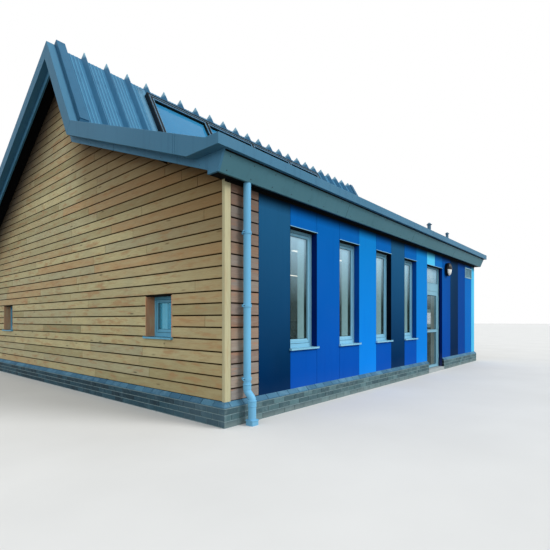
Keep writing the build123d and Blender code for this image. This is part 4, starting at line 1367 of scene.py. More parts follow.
@dataclass(frozen=True)
class Plan:
    """Driving sizes of the building, taken from the frame or kept beside it."""

    left: float
    right: float
    front: float
    rear: float
    plinth_top: float
    plinth_proud: float
    soffit: float
    eaves_top: float
    eaves_over: float
    timber_return: float = 0.597
    door_bay: float = 1.069
    end_strip: float = 0.3168
    post_width: float = 0.1
    window_sill: float = 0.88
    window_head: float = 2.65
    window_reveal: float = 0.1
    door_reveal: float = 0.09
    door_foot: float = 0.08
    low_pitch: float = 20.6
    low_run: float = 3.55
    steep_pitch: float = 60.5
    steep_run: float = 1.02
    eaves_flat: float = 0.23
    eaves_trim: float = 0.128
    deck_underside: float = 0.3
    verge_over: float = 0.35
    verge_box: float = 0.125
    low_box_depth: float = 0.24
    high_box_depth: float = 0.215
    board_bottom: float = 0.325
    trim_width: float = 0.165
    gable_windows: tuple[float, float] = (1.4, 1.42)
    gable_window: tuple[float, float] = (0.66, 0.6)
    gable_sill: float = 1.05
    gable_reveal: float = 0.145
    cladding: float = 0.05
    wall: float = 0.25
    eaves_rise: float = 0.362

    @classmethod
    def from_frame(cls) -> "Plan":
        """Reads the plan from the CAD nodes' boxes."""
        gable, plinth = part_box("timber_gables"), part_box("plinth_gables")
        front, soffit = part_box("navy_panels"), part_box("eaves_soffits")
        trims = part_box("eaves_trims")
        return cls(left=gable[0].x, right=gable[1].x, front=front[0].y, rear=front[1].y,
                   plinth_top=plinth[1].z, plinth_proud=gable[0].x - plinth[0].x, soffit=soffit[0].z,
                   eaves_top=soffit[0].z + cls.eaves_rise, eaves_over=front[0].y - trims[0].y)

    @property
    def kink(self) -> Pair:
        """Point where the low slope meets the steep one."""
        flat_end = self.front - self.eaves_over + self.eaves_flat
        return flat_end + self.low_run, self.eaves_top + self.low_run * math.tan(math.radians(self.low_pitch))

    @property
    def ridge(self) -> Pair:
        """Point at the ridge."""
        y, z = self.kink
        return y + self.steep_run, z + self.steep_run * math.tan(math.radians(self.steep_pitch))

    def low(self, drop: float = 0.0) -> Line:
        """The low slope, lowered square to itself."""
        return Line.through(self.kink, math.tan(math.radians(self.low_pitch))).lowered(drop)

    def steep(self, drop: float = 0.0) -> Line:
        """The steep slope, lowered square to itself."""
        return Line.through(self.kink, math.tan(math.radians(self.steep_pitch))).lowered(drop)

    def back(self, drop: float = 0.0) -> Line:
        """The rear slope, lowered square to itself."""
        y, z = self.ridge
        slope = (self.eaves_top - z) / (self.rear + self.eaves_over - y)
        return Line.through(self.ridge, slope).lowered(drop)

    def roof_lines(self) -> tuple[Triple, Triple]:
        """Slopes and levels of the deck's underside on the low, the steep and the rear slope."""
        lines = [line(self.deck_underside) for line in (self.low, self.steep, self.back)]
        return tuple(line.slope for line in lines), tuple(line.level for line in lines)

    @property
    def bay(self) -> float:
        """Width of one bay of the front."""
        spare = self.right - self.left - self.timber_return - self.door_bay - self.end_strip
        return spare / (len(FRONT_BAYS) - 1)

    def bays(self) -> list[tuple[Bay, float, float]]:
        """Each bay of the front with its left and right edges, without the strip at the end."""
        x, found = self.left + self.timber_return, []
        for kind in FRONT_BAYS:
            width = self.door_bay if kind is Bay.DOOR else self.bay
            found.append((kind, x, x + width))
            x += width
        return found

    def windows(self) -> list[tuple[Bay, Bay, float, float]]:
        """Finish to the left and to the right of each tall window of the front, and its two edges."""
        bays = self.bays()
        return [(bays[index - 1][0], bays[index + 1][0], start, end)
                for index, (kind, start, end) in enumerate(bays) if kind is Bay.WINDOW]

    def door(self) -> Pair:
        """Left and right edges of the door bay."""
        return next((start, end) for kind, start, end in self.bays() if kind is Bay.DOOR)

    def gable_centres(self) -> Pair:
        """Y of both gable windows' centres."""
        return self.front + self.gable_windows[0], self.rear - self.gable_windows[1]

    def front_place(self, out: float = 0.0) -> Place:
        """Frame on the front wall's face: along +X, out towards -Y."""
        return Place((0.0, self.front - out, 0.0), (1, 0, 0), (0, 0, 1), (0, -1, 0))

    def rear_place(self, out: float = 0.0) -> Place:
        """The same frame turned to the rear wall."""
        return Place((0.0, self.rear + out, 0.0), (-1, 0, 0), (0, 0, 1), (0, 1, 0))

    def gable_place(self, side: int, out: float = 0.0) -> Place:
        """Frame on the near (-1) or the far (1) gable's face: along +Y, out of the wall."""
        x = self.left if side < 0 else self.right
        return Place((x + side * out, 0.0, 0.0), (0, 1, 0), (0, 0, 1), (side, 0, 0))

    def long_sides(self) -> tuple[Place, Place]:
        """Both long sides, which repeat each other."""
        return self.front_place(), self.rear_place()


# Sub-assemblies

@dataclass
class BoardCladding:
    """Horizontal boards of the gables and of the returns beside the corner posts, on a dark backing."""

    plan: Plan
    palette: Palette
    cover: float = 0.15
    gap: float = 0.015
    thick: float = 0.02
    edge: float = 0.0025
    joint: float = 0.007
    shortest: float = 1.5
    longest: float = 4.2
    backing_gap: float = 0.004
    end_clear: float = 0.3
    shortest_run: float = 0.02
    post_gap: float = 0.003
    panel_gap: float = 0.004
    lining: float = 0.016

    def profile(self) -> Floats:
        """Outline of one board above the foot of its row."""
        return bevelled_bar(self.thick, self.gap / 2, self.cover - self.gap / 2, self.edge)

    def backing(self) -> Floats:
        """Outline of the backing behind one row."""
        return oblong(-self.plan.cladding, -self.thick - self.backing_gap, 0.0, self.cover)

    def limits(self, z: Floats) -> tuple[Floats, Floats]:
        """First and last y of the gable at height z.

        The front limit is the further back of the wall's edge and the roof, where the roof is whichever of
        the low and the steep slope is reached first; the rear limit is the nearer of the edge and the roof.

        Args:
            z: Heights.

        Returns:
            First and last y; both in the middle where there is no wall.
        """
        plan, half = self.plan, self.plan.rear - self.plan.cladding
        roof = np.minimum(plan.low(plan.deck_underside).where(z), plan.steep(plan.deck_underside).where(z))
        first = np.maximum(-half, roof)
        last = np.minimum(half, plan.back(plan.deck_underside).where(z))
        middle = (first + last) / 2
        return np.where(first > last, middle, first), np.where(first > last, middle, last)

    def cuts(self, row: int, seed: int) -> Floats:
        """Where one row's boards meet: steps of random length between the shortest and the longest.

        Args:
            row: The row, counted from the plinth.
            seed: Seed of the gable's joints.

        Returns:
            Y of the joints.
        """
        random = np.random.default_rng(seed * 1000 + row)
        steps = random.uniform(self.shortest, self.longest, 8)
        return self.plan.front + random.uniform(0.2, self.longest) + np.concatenate([[0.0], np.cumsum(steps)])

    def segments(self, row: int, seed: int, jointed: bool) -> list[Pair]:
        """Stretches of one row between its butt joints and the windows that it passes.

        Args:
            row: The row, counted from the plinth.
            seed: Seed of the gable's joints.
            jointed: Whether the row is parted at butt joints.

        Returns:
            First and last y of each stretch.
        """
        plan = self.plan
        middle = plan.plinth_top + (row + 0.5) * self.cover
        edges = [(plan.front, plan.rear)]
        if plan.gable_sill < middle < plan.gable_sill + plan.gable_window[1]:
            half = plan.gable_window[0] / 2
            first, second = plan.gable_centres()
            edges = [(plan.front, first - half), (first + half, second - half), (second + half, plan.rear)]
        if not jointed:
            return edges
        cuts, found = self.cuts(row, seed), []
        for start, end in edges:
            inner = cuts[(cuts > start + self.end_clear) & (cuts < end - self.end_clear)]
            stops = [start, *inner.tolist(), end]
            for index in range(len(stops) - 1):
                left = stops[index] + (self.joint / 2 if index else 0.0)
                right = stops[index + 1] - (self.joint / 2 if index < len(stops) - 2 else 0.0)
                found.append((left, right))
        return found

    def gable_runs(self, profile: Floats, seed: int, jointed: bool) -> tuple[Floats, Floats, Floats]:
        """Every run on a gable, cut to the roof line at each profile point.

        Args:
            profile: Outline of a board or of the backing.
            seed: Seed of the gable's joints.
            jointed: Whether the rows are parted at butt joints.

        Returns:
            Starts, ends and feet of the runs.
        """
        plan = self.plan
        top = plan.back(plan.deck_underside).crossing(plan.steep(plan.deck_underside))[1]
        rows = math.ceil((top - plan.plinth_top) / self.cover)
        table = np.array([(row, *stretch) for row in range(rows)
                          for stretch in self.segments(row, seed, jointed)])
        feet = plan.plinth_top + table[:, 0] * self.cover
        first, last = self.limits(feet[:, None] + profile[None, :, 1])
        start, end = np.maximum(table[:, 1:2], first), np.minimum(table[:, 2:3], last)
        kept = (end - start).max(axis=1) > self.shortest_run
        return np.minimum(start, end)[kept], end[kept], feet[kept]

    def gable_boards(self) -> None:
        """Boards and backing of both gables."""
        boards = Piece("gable_boards", self.palette.several("timber", "board_gap"), slot="timber")
        for seed, side in ((3, -1), (7, 1)):
            place = self.plan.gable_place(side)
            profile, backing = self.profile(), self.backing()
            start, end, feet = self.gable_runs(profile, seed, True)
            tones = np.random.default_rng(seed).uniform(0.0, 1.0, len(feet))
            boards.add(carried(profile, start, end, place, feet), tones)
            start, end, feet = self.gable_runs(backing, seed, False)
            boards.add(carried(backing, start, end, place, feet), slot=1)
        boards.finish(("timber_gables",))

    def return_boards(self) -> None:
        """Boards beside the corner posts, one length a row, and a narrower one under the soffit."""
        plan = self.plan
        boards = Piece("return_boards", self.palette.several("return_timber", "board_gap"), slot="timber")
        tall = plan.soffit - plan.plinth_top
        rows = int(tall / self.cover)
        feet = plan.plinth_top + np.arange(rows) * self.cover
        first, last = plan.left + plan.post_width, plan.left + plan.timber_return - self.panel_gap
        start, end = np.full((rows, 1), first + self.post_gap), np.full((rows, 1), last)
        rest = tall - rows * self.cover
        top_board = bevelled_bar(self.thick, self.gap / 2, rest, self.edge)
        backing = self.backing() * (1.0, tall / self.cover)
        for seed, place in enumerate(plan.long_sides()):
            tones = np.random.default_rng(seed + 21).uniform(0.0, 1.0, rows)
            boards.add(carried(self.profile(), start, end, place, feet), tones)
            boards.add(carried(top_board, start[:1], end[:1], place, plan.soffit - rest), 0.4)
            boards.add(carried(backing, whole(first), whole(last), place, plan.plinth_top), slot=1)
        boards.finish(("timber_returns",))

    def posts(self) -> None:
        """Planed posts at the two boarded corners, with rounded edges."""
        plan = self.plan
        post = Piece("planed_posts", self.palette.several("post_timber"), slot="post_timber")
        outline = rounded_bar(plan.post_width, plan.cladding, 0.005)
        for side in (-1, 1):
            x, y = side * (plan.right - plan.post_width / 2), side * (plan.rear - plan.cladding / 2)
            place = Place((x, y, 0.0), (0, 0, 1), (0, 1, 0), (1, 0, 0))
            post.add(carried(outline, whole(plan.plinth_top), whole(plan.soffit), place), 0.3 + 0.2 * side)
        post.finish(("corner_posts",))

    def reveal_linings(self) -> None:
        """Timber linings of the gable windows' reveals at both sides, and a near-black one at the head as
        painted shadow.
        """
        plan, thick = self.plan, self.lining
        piece = Piece("gable_reveal_linings", self.palette.several("lining_timber", "joint_and_shade_black"),
                      slot="timber")
        width, tall = plan.gable_window
        outline = oblong(-plan.gable_reveal, 0.0, 0.0, thick)
        head = outline - [(0.004, 0.0)]
        for side in (-1, 1):
            for centre in plan.gable_centres():
                place = plan.gable_place(side).moved(centre - width / 2, plan.gable_sill)
                # Near-black head lining, as painted shadow.
                piece.add(carried(head, whole(0.0), whole(width), place, tall - thick), slot=1)
                for y in (0.0, width - thick):
                    piece.add(carried(outline, whole(0.0), whole(tall - thick), place.upright(), y), 0.2)
        piece.finish()

    def build(self) -> None:
        """Builds all the boarding."""
        self.gable_boards()
        self.return_boards()
        self.posts()
        self.reveal_linings()


@dataclass
class BrickPlinth:
    """Brick upstand in stretcher bond, with a sloping top course tinted with painted sky reflection, around a
    mortar core.
    """

    plan: Plan
    palette: Palette
    length: float = 0.215
    header: float = 0.1025
    tall: float = 0.065
    bed: float = 0.01
    edge: float = 0.003
    depth: float = 0.1
    recess: float = 0.005

    FRONT_SLOT: ClassVar[int] = 2
    CANT_SLOT: ClassVar[int] = 3
    courses: int = 4
    shortest: float = 0.06

    def course_profile(self, course: int) -> Floats:
        """Outline of a brick of that course, as (out, up) from the plinth's outer face."""
        low = course * (self.tall + self.bed) + self.bed
        if course < self.courses - 1:
            return bevelled_bar(self.depth, low, low + self.tall, self.edge)
        top, slope = self.plan.plinth_top, self.plan.plinth_proud
        return np.array([(-self.depth, low), (-self.edge, low), (0.0, low + self.edge), (0.0, top - slope),
                         (-slope, top), (-self.depth, top)])

    def core_profile(self) -> Floats:
        """Outline of the mortar core, behind the bricks' faces."""
        top, slope, back = self.plan.plinth_top - self.recess, self.plan.plinth_proud, self.recess
        return np.array([(-self.depth, 0.0), (-back, 0.0), (-back, top - slope), (-slope - back, top),
                         (-self.depth, top)])

    def bricks(self, first: float, last: float, course: int, corner_first: bool) -> tuple[Floats, Floats]:
        """The bricks of one course between two points of a side.

        A side whose corner brick is a stretcher in one course has a header there in the next, so the joints
        of a course lie half a brick from those above and below.

        Args:
            first: Where the course starts.
            last: Where it ends.
            course: Number of the course, from the ground.
            corner_first: Whether the lowest course starts with a stretcher.

        Returns:
            Starts and ends of the bricks.
        """
        pitch = self.length + self.bed
        lead = self.length if (course % 2 == 0) == corner_first else self.header
        joints = first + lead + self.bed / 2 + np.arange(int((last - first) / pitch) + 1) * pitch
        joints = joints[joints < last - self.shortest]
        return (np.concatenate([[first], joints + self.bed / 2]),
                np.concatenate([joints - self.bed / 2, [last]]))

    def side(self, piece: Piece, place: Place, first: float, last: float, mitres: tuple[bool, bool],
             corner_first: bool, seed: int, slot: int = 0) -> None:
        """Adds one stretch of plinth; a mitred end follows the corner, so it moves out with the profile.

        Args:
            piece: Piece that takes the bricks and their core.
            place: Frame on the plinth's outer face.
            first: Where the stretch starts.
            last: Where it ends.
            mitres: Whether its start and its end are mitred.
            corner_first: Whether the lowest course starts with a stretcher.
            seed: Seed of the bricks' tones.
            slot: Slot of the bricks below the sloping course.
        """
        random = np.random.default_rng(seed)
        for course in range(self.courses):
            profile = self.course_profile(course)
            starts, ends = self.bricks(first, last, course, corner_first)
            start = np.repeat(starts[:, None], len(profile), axis=1)
            end = np.repeat(ends[:, None], len(profile), axis=1)
            start[0] -= profile[:, 0] * mitres[0]
            end[-1] += profile[:, 0] * mitres[1]
            tones = random.uniform(0.0, 1.0, len(starts))
            top = course == self.courses - 1
            piece.add(carried(profile, start, end, place), tones, self.CANT_SLOT if top else slot)
        core = self.core_profile()
        out = core[None, :, 0]
        piece.add(carried(core, first - out * mitres[0], last + out * mitres[1], place), slot=1)

    def build(self) -> None:
        """Builds the plinth of all four sides."""
        plan = self.plan
        materials = self.palette.several("brick", "mortar", "front_brick", "cant_brick_sky_reflection")
        plinth = Piece("brick_plinth", materials, slot="brick")
        proud, corner, edge = plan.plinth_proud, plan.right + plan.plinth_proud, plan.rear + plan.plinth_proud
        door_left, door_right = plan.door()
        front, rear = plan.front_place(proud), plan.rear_place(proud)
        self.side(plinth, front, -corner, door_left, (True, False), True, 11, self.FRONT_SLOT)
        self.side(plinth, front, door_right, corner, (False, True), False, 12, self.FRONT_SLOT)
        self.side(plinth, rear, -corner, corner, (True, True), True, 13, self.FRONT_SLOT)
        for seed, side in ((14, -1), (15, 1)):
            self.side(plinth, plan.gable_place(side, proud), -edge, edge, (True, True), False, seed)
        plinth.finish(("plinth_front", "plinth_rear", "plinth_gables"))


@dataclass(frozen=True)
class Opening:
    """An opening in a face: the frame at its lower left corner, its size, and how deep its window stands."""

    place: Place
    width: float
    tall: float
    reveal: float = 0.0

    def framed(self, profile: Floats, lift: Floats | float = 0.0) -> Shell:
        """A closed (inset, out) profile carried round the opening."""
        return ring(self.width, self.tall, profile, self.place, lift)


@dataclass
class WindowSet:
    """Frames, sashes, gaskets, sills, reveals and head trims of the windows."""

    plan: Plan
    palette: Palette
    frame_width: float = 0.058
    sash_width: float = 0.046
    depth: float = 0.07
    step: float = 0.012
    glass_step: float = 0.029
    bottom_rail: float = 0.02
    sill_thick: float = 0.028
    sill_proud: float = 0.038
    sill_ears: float = 0.016
    nose: float = 0.006
    stop_rise: float = 0.006
    stop_thick: float = 0.004
    sheet: float = 0.003
    door_lap: float = 0.022

    @property
    def inner(self) -> float:
        """Inset of the sash's inner edge, where the glass starts to show."""
        return self.frame_width + self.sash_width

    def frame_profile(self, reveal: float) -> Floats:
        """Outline of the fixed frame as (inset, out), with its inner front edge rounded off."""
        front, back, wide = -reveal, -reveal - self.depth, self.frame_width
        return np.array([(0.0, back), (0.0, front), (wide - 0.008, front), (wide - 0.005, front - 0.002),
                         (wide - 0.004, front - 0.005), (wide - 0.004, back)])

    def sash_profile(self, reveal: float) -> Floats:
        """Outline of the sash as (inset, out), with a sloped glazing bead at the glass."""
        front, back, wide, inner = -reveal - self.step, -reveal - self.depth, self.frame_width, self.inner
        return np.array([(wide, back), (wide, front - 0.003), (wide + 0.003, front), (inner - 0.014, front),
                         (inner - 0.012, front - 0.002), (inner, front - 0.008), (inner, back)])

    def gasket_profile(self, inset: float, face: float) -> Floats:
        """Outline of a rubber strip 7 mm wide and 6 mm deep at that inset, behind that face."""
        return oblong(inset - 0.003, inset + 0.004, face, face - 0.006)

    def lining_profile(self, reveal: float) -> Floats:
        """Outline of the pale lining between a window's back and the room, nearly flush with the sash."""
        behind, room = -reveal - self.depth - 0.002, -self.plan.cladding - self.plan.wall - 0.006
        return oblong(0.001, self.inner - 0.006, behind, room)

    def cheeks(self, piece: Piece, opening: Opening, bottom: float) -> None:
        """Adds the dark rubber glazing wedges down both stiles, from the sash's bead to the glass; their
        black is also painted shade inside the stiles.

        Args:
            piece: Piece that takes the window.
            opening: The opening that it fills.
            bottom: How much deeper the sash's bottom rail is than its stiles.
        """
        front, glass = -opening.reveal - self.step - 0.001, -opening.reveal - self.glass_step
        low, high = whole(self.frame_width + bottom + 0.03), whole(opening.tall - self.inner)
        for side, x in ((-1, self.inner), (1, opening.width - self.inner)):
            # Dark rubber wedge, also as painted shade inside the stile.
            wedge = np.array([(front, x + side * 0.012), (front - 0.002, x + side * 0.006),
                              (glass, x - side * 0.004), (glass - 0.001, x + side * 0.012)])
            piece.add(carried(wedge, low, high, opening.place.upright()), slot=1)

    def one(self, piece: Piece, opening: Opening, bottom: float = 0.0) -> None:
        """Adds one window.

        Args:
            piece: Piece that takes the window; its slots are metal and rubber.
            opening: The opening that it fills.
            bottom: How much deeper the sash's bottom rail is than its stiles.
        """
        face, inner = -opening.reveal, self.inner
        sash = self.sash_profile(opening.reveal)
        share = np.clip((sash[:, 0] - self.frame_width) / self.sash_width, 0, 1)
        sash_edge = self.gasket_profile(self.frame_width - 0.001, face - self.step - 0.008)
        glass_edge = self.gasket_profile(inner, face - self.step - 0.012)
        sleeve = oblong(inner - 0.002, inner + 0.0035, face - self.glass_step - 0.002,
                        face - self.depth - 0.003)
        piece.add(opening.framed(self.frame_profile(opening.reveal)))
        piece.add(opening.framed(sash, share * bottom))
        piece.add(opening.framed(sash_edge), slot=1)
        piece.add(opening.framed(glass_edge, bottom), slot=1)
        piece.add(opening.framed(sleeve, bottom), slot=1)
        self.cheeks(piece, opening, bottom)

    def sill(self, piece: Piece, opening: Opening) -> None:
        """Adds a pressed sill: top falling to a rounded nose, ears past the opening, and upturned stop ends.

        Args:
            piece: Piece that takes the sill.
            opening: The opening above it.
        """
        thick, proud, ears = self.sill_thick, self.sill_proud, self.sill_ears
        back = -opening.reveal - self.depth
        slab = np.array([(back, -thick), (0.001, -thick), (0.001, -0.004), (-opening.reveal, 0.0),
                         (back, 0.0)])
        turn = np.linspace(math.radians(80), 0, 4)
        nose = np.column_stack([proud - self.nose + self.nose * np.cos(turn),
                                -0.012 + self.nose * np.sin(turn)])
        front = np.concatenate([[(0.0, -thick), (0.0, -0.004)], nose,
                                [(proud, -thick), (proud - 0.002, -thick)]])
        stop = bevelled_bar(proud, -thick, self.stop_rise, 0.002, proud + 0.0005)
        starts = np.array([[-ears], [opening.width + ears]]) - self.stop_thick / 2
        piece.add(carried(slab, whole(0.0), whole(opening.width), opening.place))
        piece.add(carried(front, whole(-ears), whole(opening.width + ears), opening.place))
        piece.add(carried(stop, starts, starts + self.stop_thick, opening.place))

    def reveals(self, piece: Piece, opening: Opening, sides: tuple[Bay, Bay]) -> None:
        """Adds the folded sheets that line an opening: each side in a darker copy of its neighbour's colour,
        as painted shade, and a near-black head, as painted shadow.

        Args:
            piece: Piece whose slots follow RETURNS, with the near-black of the painted shadow last.
            opening: The opening, with how deep the sheets reach as its reveal.
            sides: Finish to the left and to the right of the opening.
        """
        thick, tall, depth, place = self.sheet, opening.tall, opening.reveal, opening.place
        # Side sheets in darker copies of the neighbours' colours, as painted shade.
        for x, bay in zip((0.0, opening.width - thick), sides):
            sheet = oblong(-depth, -0.001, x, x + thick)
            piece.add(carried(sheet, whole(0.0), whole(tall), place.upright()), slot=RETURNS.index(bay))
        # Near-black head sheet, as painted shadow in the head of the reveal.
        head = oblong(-depth, -0.004, tall - 0.02, tall - 0.006)
        piece.add(carried(head, whole(thick), whole(opening.width - thick), place), slot=len(RETURNS))

    def head_trim(self, piece: Piece, opening: Opening) -> None:
        """Adds the pressed drip over a window: a thin shelf with a small downturn."""
        tall = opening.tall
        outline = np.array([(-0.03, tall - 0.003), (0.009, tall - 0.005), (0.009, tall - 0.008),
                            (0.0115, tall - 0.008), (0.0115, tall + 0.001), (-0.03, tall + 0.003)])
        piece.add(carried(outline, whole(-0.006), whole(opening.width + 0.01), opening.place))

    def tall_windows(self) -> None:
        """The tall windows of both long sides, and the reveals and head trim of the door."""
        plan, several = self.plan, self.palette.several
        # The darker copies of the panel colours, as painted shade in the reveals.
        returns = [f"{bay.value}_return" for bay in RETURNS]
        frames = Piece("tall_window_frames", several("window_metal", "rubber"), slot="window_metal")
        sills = Piece("tall_window_sills", several("window_metal"), slot="window_metal")
        linings = Piece("front_reveals", several(*returns, "joint_and_shade_black"), slot="royal_panel")
        trims = Piece("tall_window_head_trims", several("window_metal"), slot="window_metal")
        # Pale inner linings, lit by a painted glow.
        inner = Piece("inner_reveal_linings", several("reveal_lining"), slot="lining")
        tall = plan.window_head - plan.window_sill
        for side in plan.long_sides():
            for before, after, start, end in plan.windows():
                opening = Opening(side.moved(start, plan.window_sill), end - start, tall, plan.window_reveal)
                inner.add(opening.framed(self.lining_profile(plan.window_reveal)))
                self.one(frames, opening, self.bottom_rail)
                self.sill(sills, opening)
                self.reveals(linings, opening, (before, after))
                self.head_trim(trims, opening)
        start, end = plan.door()
        door = Opening(plan.front_place().moved(start, plan.door_foot), end - start,
                       plan.window_head - plan.door_foot, plan.door_reveal - self.door_lap)
        self.reveals(linings, door, (Bay.BRIGHT, Bay.ROYAL))
        self.head_trim(trims, door)
        frames.finish(("window_frames",))
        sills.finish(("window_sills",))
        for piece in (linings, trims, inner):
            piece.finish()

    def small_windows(self) -> None:
        """The small windows of both gables."""
        plan, several = self.plan, self.palette.several
        width, tall = plan.gable_window
        frames = Piece("small_window_frames", several("gable_window_metal", "rubber"),
                       slot="gable_window_metal")
        sills = Piece("small_window_sills", several("gable_window_metal"), slot="gable_window_metal")
        # Pale inner linings, lit by a painted glow.
        inner = Piece("small_window_linings", several("reveal_lining"), slot="lining")
        for side in (-1, 1):
            for centre in plan.gable_centres():
                place = plan.gable_place(side).moved(centre - width / 2, plan.gable_sill)
                opening = Opening(place, width, tall, plan.gable_reveal)
                inner.add(opening.framed(self.lining_profile(plan.gable_reveal)))
                self.one(frames, opening)
                self.sill(sills, opening)
        frames.finish(("gable_window_frames",))
        sills.finish(("gable_window_sills",))
        inner.finish()

    def build(self) -> None:
        """Builds all the windows."""
        self.tall_windows()
        self.small_windows()


@dataclass
class RoofMetal:
    """Fine forms of the metal roof that the CAD sheets don't carry: swages, rib seams and cap closers."""

    plan: Plan
    palette: Palette
    cap_width: float = 0.16
    cap_rise: float = 0.069
    closer_run: float = 0.084
    closer_sunk: float = 0.02
    rib_first: float = 0.342
    rib_pitch: float = 0.46
    rib_count: int = 23
    rib_top: float = 0.076
    sheet_drop: float = 0.02
    swage_width: float = 0.03
    swage_rise: float = 0.006
    swage_shares: tuple[float, ...] = (0.26, 0.42, 0.58, 0.74)
    swage_reach: float = 0.01
    rooflight_from_near: float = 1.615
    rooflight_from_far: float = 2.45
    rooflight_lower: float = 0.3
    rooflight_upper: float = 0.28
    rooflight_clear: float = 0.02

    def ribs(self) -> Floats:
        """X of every rib."""
        return self.plan.left + self.rib_first + np.arange(self.rib_count) * self.rib_pitch

    def slope_place(self, line: Line, start: Pair) -> Place:
        """Frame on a slope: along it from a point, up is X, out is square to the slope."""
        length = math.hypot(1.0, line.slope)
        along, out = (0.0, 1 / length, line.slope / length), (0.0, -line.slope / length, 1 / length)
        return Place((0.0, start[0], start[1]), along, (1, 0, 0), out)

    def steep_place(self) -> Place:
        """Frame on the steep slope from the kink: along is X, up is up the slope."""
        return self.slope_place(self.plan.steep(), self.plan.kink).upright()

    def slopes(self) -> list[tuple[Place, float, bool]]:
        """The low, the steep and the rear slope at the level of the sheet's top.

        Returns:
            Frame and length of each slope, and whether the rooflight is in it.
        """
        plan, drop = self.plan, self.sheet_drop
        low, steep, back = plan.low(drop), plan.steep(drop), plan.back(drop)
        front_end = plan.front - plan.eaves_over + plan.eaves_flat
        rear_end = plan.rear + plan.eaves_over - plan.eaves_flat
        kink, ridge = low.crossing(steep), steep.crossing(back)
        spans = ((low, (front_end, low.height(front_end)), kink, False), (steep, kink, ridge, True),
                 (back, ridge, (rear_end, back.height(rear_end)), False))
        return [(self.slope_place(line, start), math.dist(start, end), lit)
                for line, start, end, lit in spans]

    def run_ends(self, x: Floats, length: float, lit: bool) -> tuple[Floats, Floats, Floats]:
        """The runs up a slope, parted where the rooflight lies.

        Args:
            x: X of every run.
            length: Length of the slope.
            lit: Whether the rooflight is in it.

        Returns:
            Starts, ends and X of the runs.
        """
        left = self.plan.left + self.rooflight_from_near - self.rooflight_clear
        right = self.plan.right - self.rooflight_from_far + self.rooflight_clear
        blocked = (x > left) & (x < right) & lit
        free, held = x[~blocked], x[blocked]
        starts = np.repeat([0.0, 0.0, length - self.rooflight_upper], [len(free), len(held), len(held)])
        ends = np.repeat([length, self.rooflight_lower, length], [len(free), len(held), len(held)])
        return starts[:, None], ends[:, None], np.concatenate([free, held, held])

    def swages(self) -> None:
        """Four low swages in each pan, and as many as fit between the end ribs and the verge caps, lighter
        than the roof as painted highlight.
        """
        piece = Piece("roof_swages", self.palette.several("swage_highlight", "roof_line"), slot="roof_metal")
        half, rise = self.swage_width / 2, self.swage_rise
        outline = np.array([(-0.002, -half), (0.0, -half), (rise, -half * 0.5), (rise, half * 0.5),
                            (0.0, half), (-0.002, half)])
        # Dark strip beside each swage, as painted shadow in its crease.
        crease_shadow = oblong(-0.002, 0.0008, -half - 0.005, -half)
        pans = np.concatenate([self.ribs()[:1] - self.rib_pitch, self.ribs()])
        x = (pans[:, None] + np.array(self.swage_shares)[None] * self.rib_pitch).ravel()
        x = x[np.abs(x) < self.plan.right + self.swage_reach]
        for place, length, lit in self.slopes():
            start, end, across = self.run_ends(x, length, lit)
            piece.add(carried(outline, start, end, place, across))
            piece.add(carried(crease_shadow, start, end, place, across), slot=1)
        piece.finish()

    def seams(self) -> None:
        """A rolled seam along the top of each rib."""
        piece = Piece("rib_seams", self.palette.several("roof_metal"), slot="roof_metal")
        turn = np.linspace(0, math.pi, 6)
        roll = np.column_stack([self.rib_top + 0.006 * np.sin(turn), 0.009 * np.cos(turn)])
        foot = self.rib_top - 0.004
        outline = np.concatenate([[(foot, 0.009)], roll, [(foot, -0.009)]]) + [(self.sheet_drop, 0.0)]
        for place, length, lit in self.slopes():
            start, end, across = self.run_ends(self.ribs(), length, lit)
            piece.add(carried(outline, start, end, place, across))
        piece.finish()

    def cap_feet(self) -> None:
        """Sloped closers from the foot of each raised verge cap down to where the slopes meet."""
        plan, width = self.plan, self.cap_width
        piece = Piece("verge_cap_feet", self.palette.several("cap_metal"), slot="fascia_metal")
        wedge = np.array([(-self.closer_sunk, 0.0), (self.cap_rise, self.closer_run),
                          (-self.closer_sunk, self.closer_run)])
        inner = plan.right + plan.verge_over - plan.trim_width - width
        starts = np.array([[-inner - width], [inner]])
        piece.add(carried(wedge, starts, starts + width, self.steep_place()))
        piece.finish()

    def build(self) -> None:
        """Builds the roof's fine forms."""
        self.swages()
        self.seams()
        self.cap_feet()


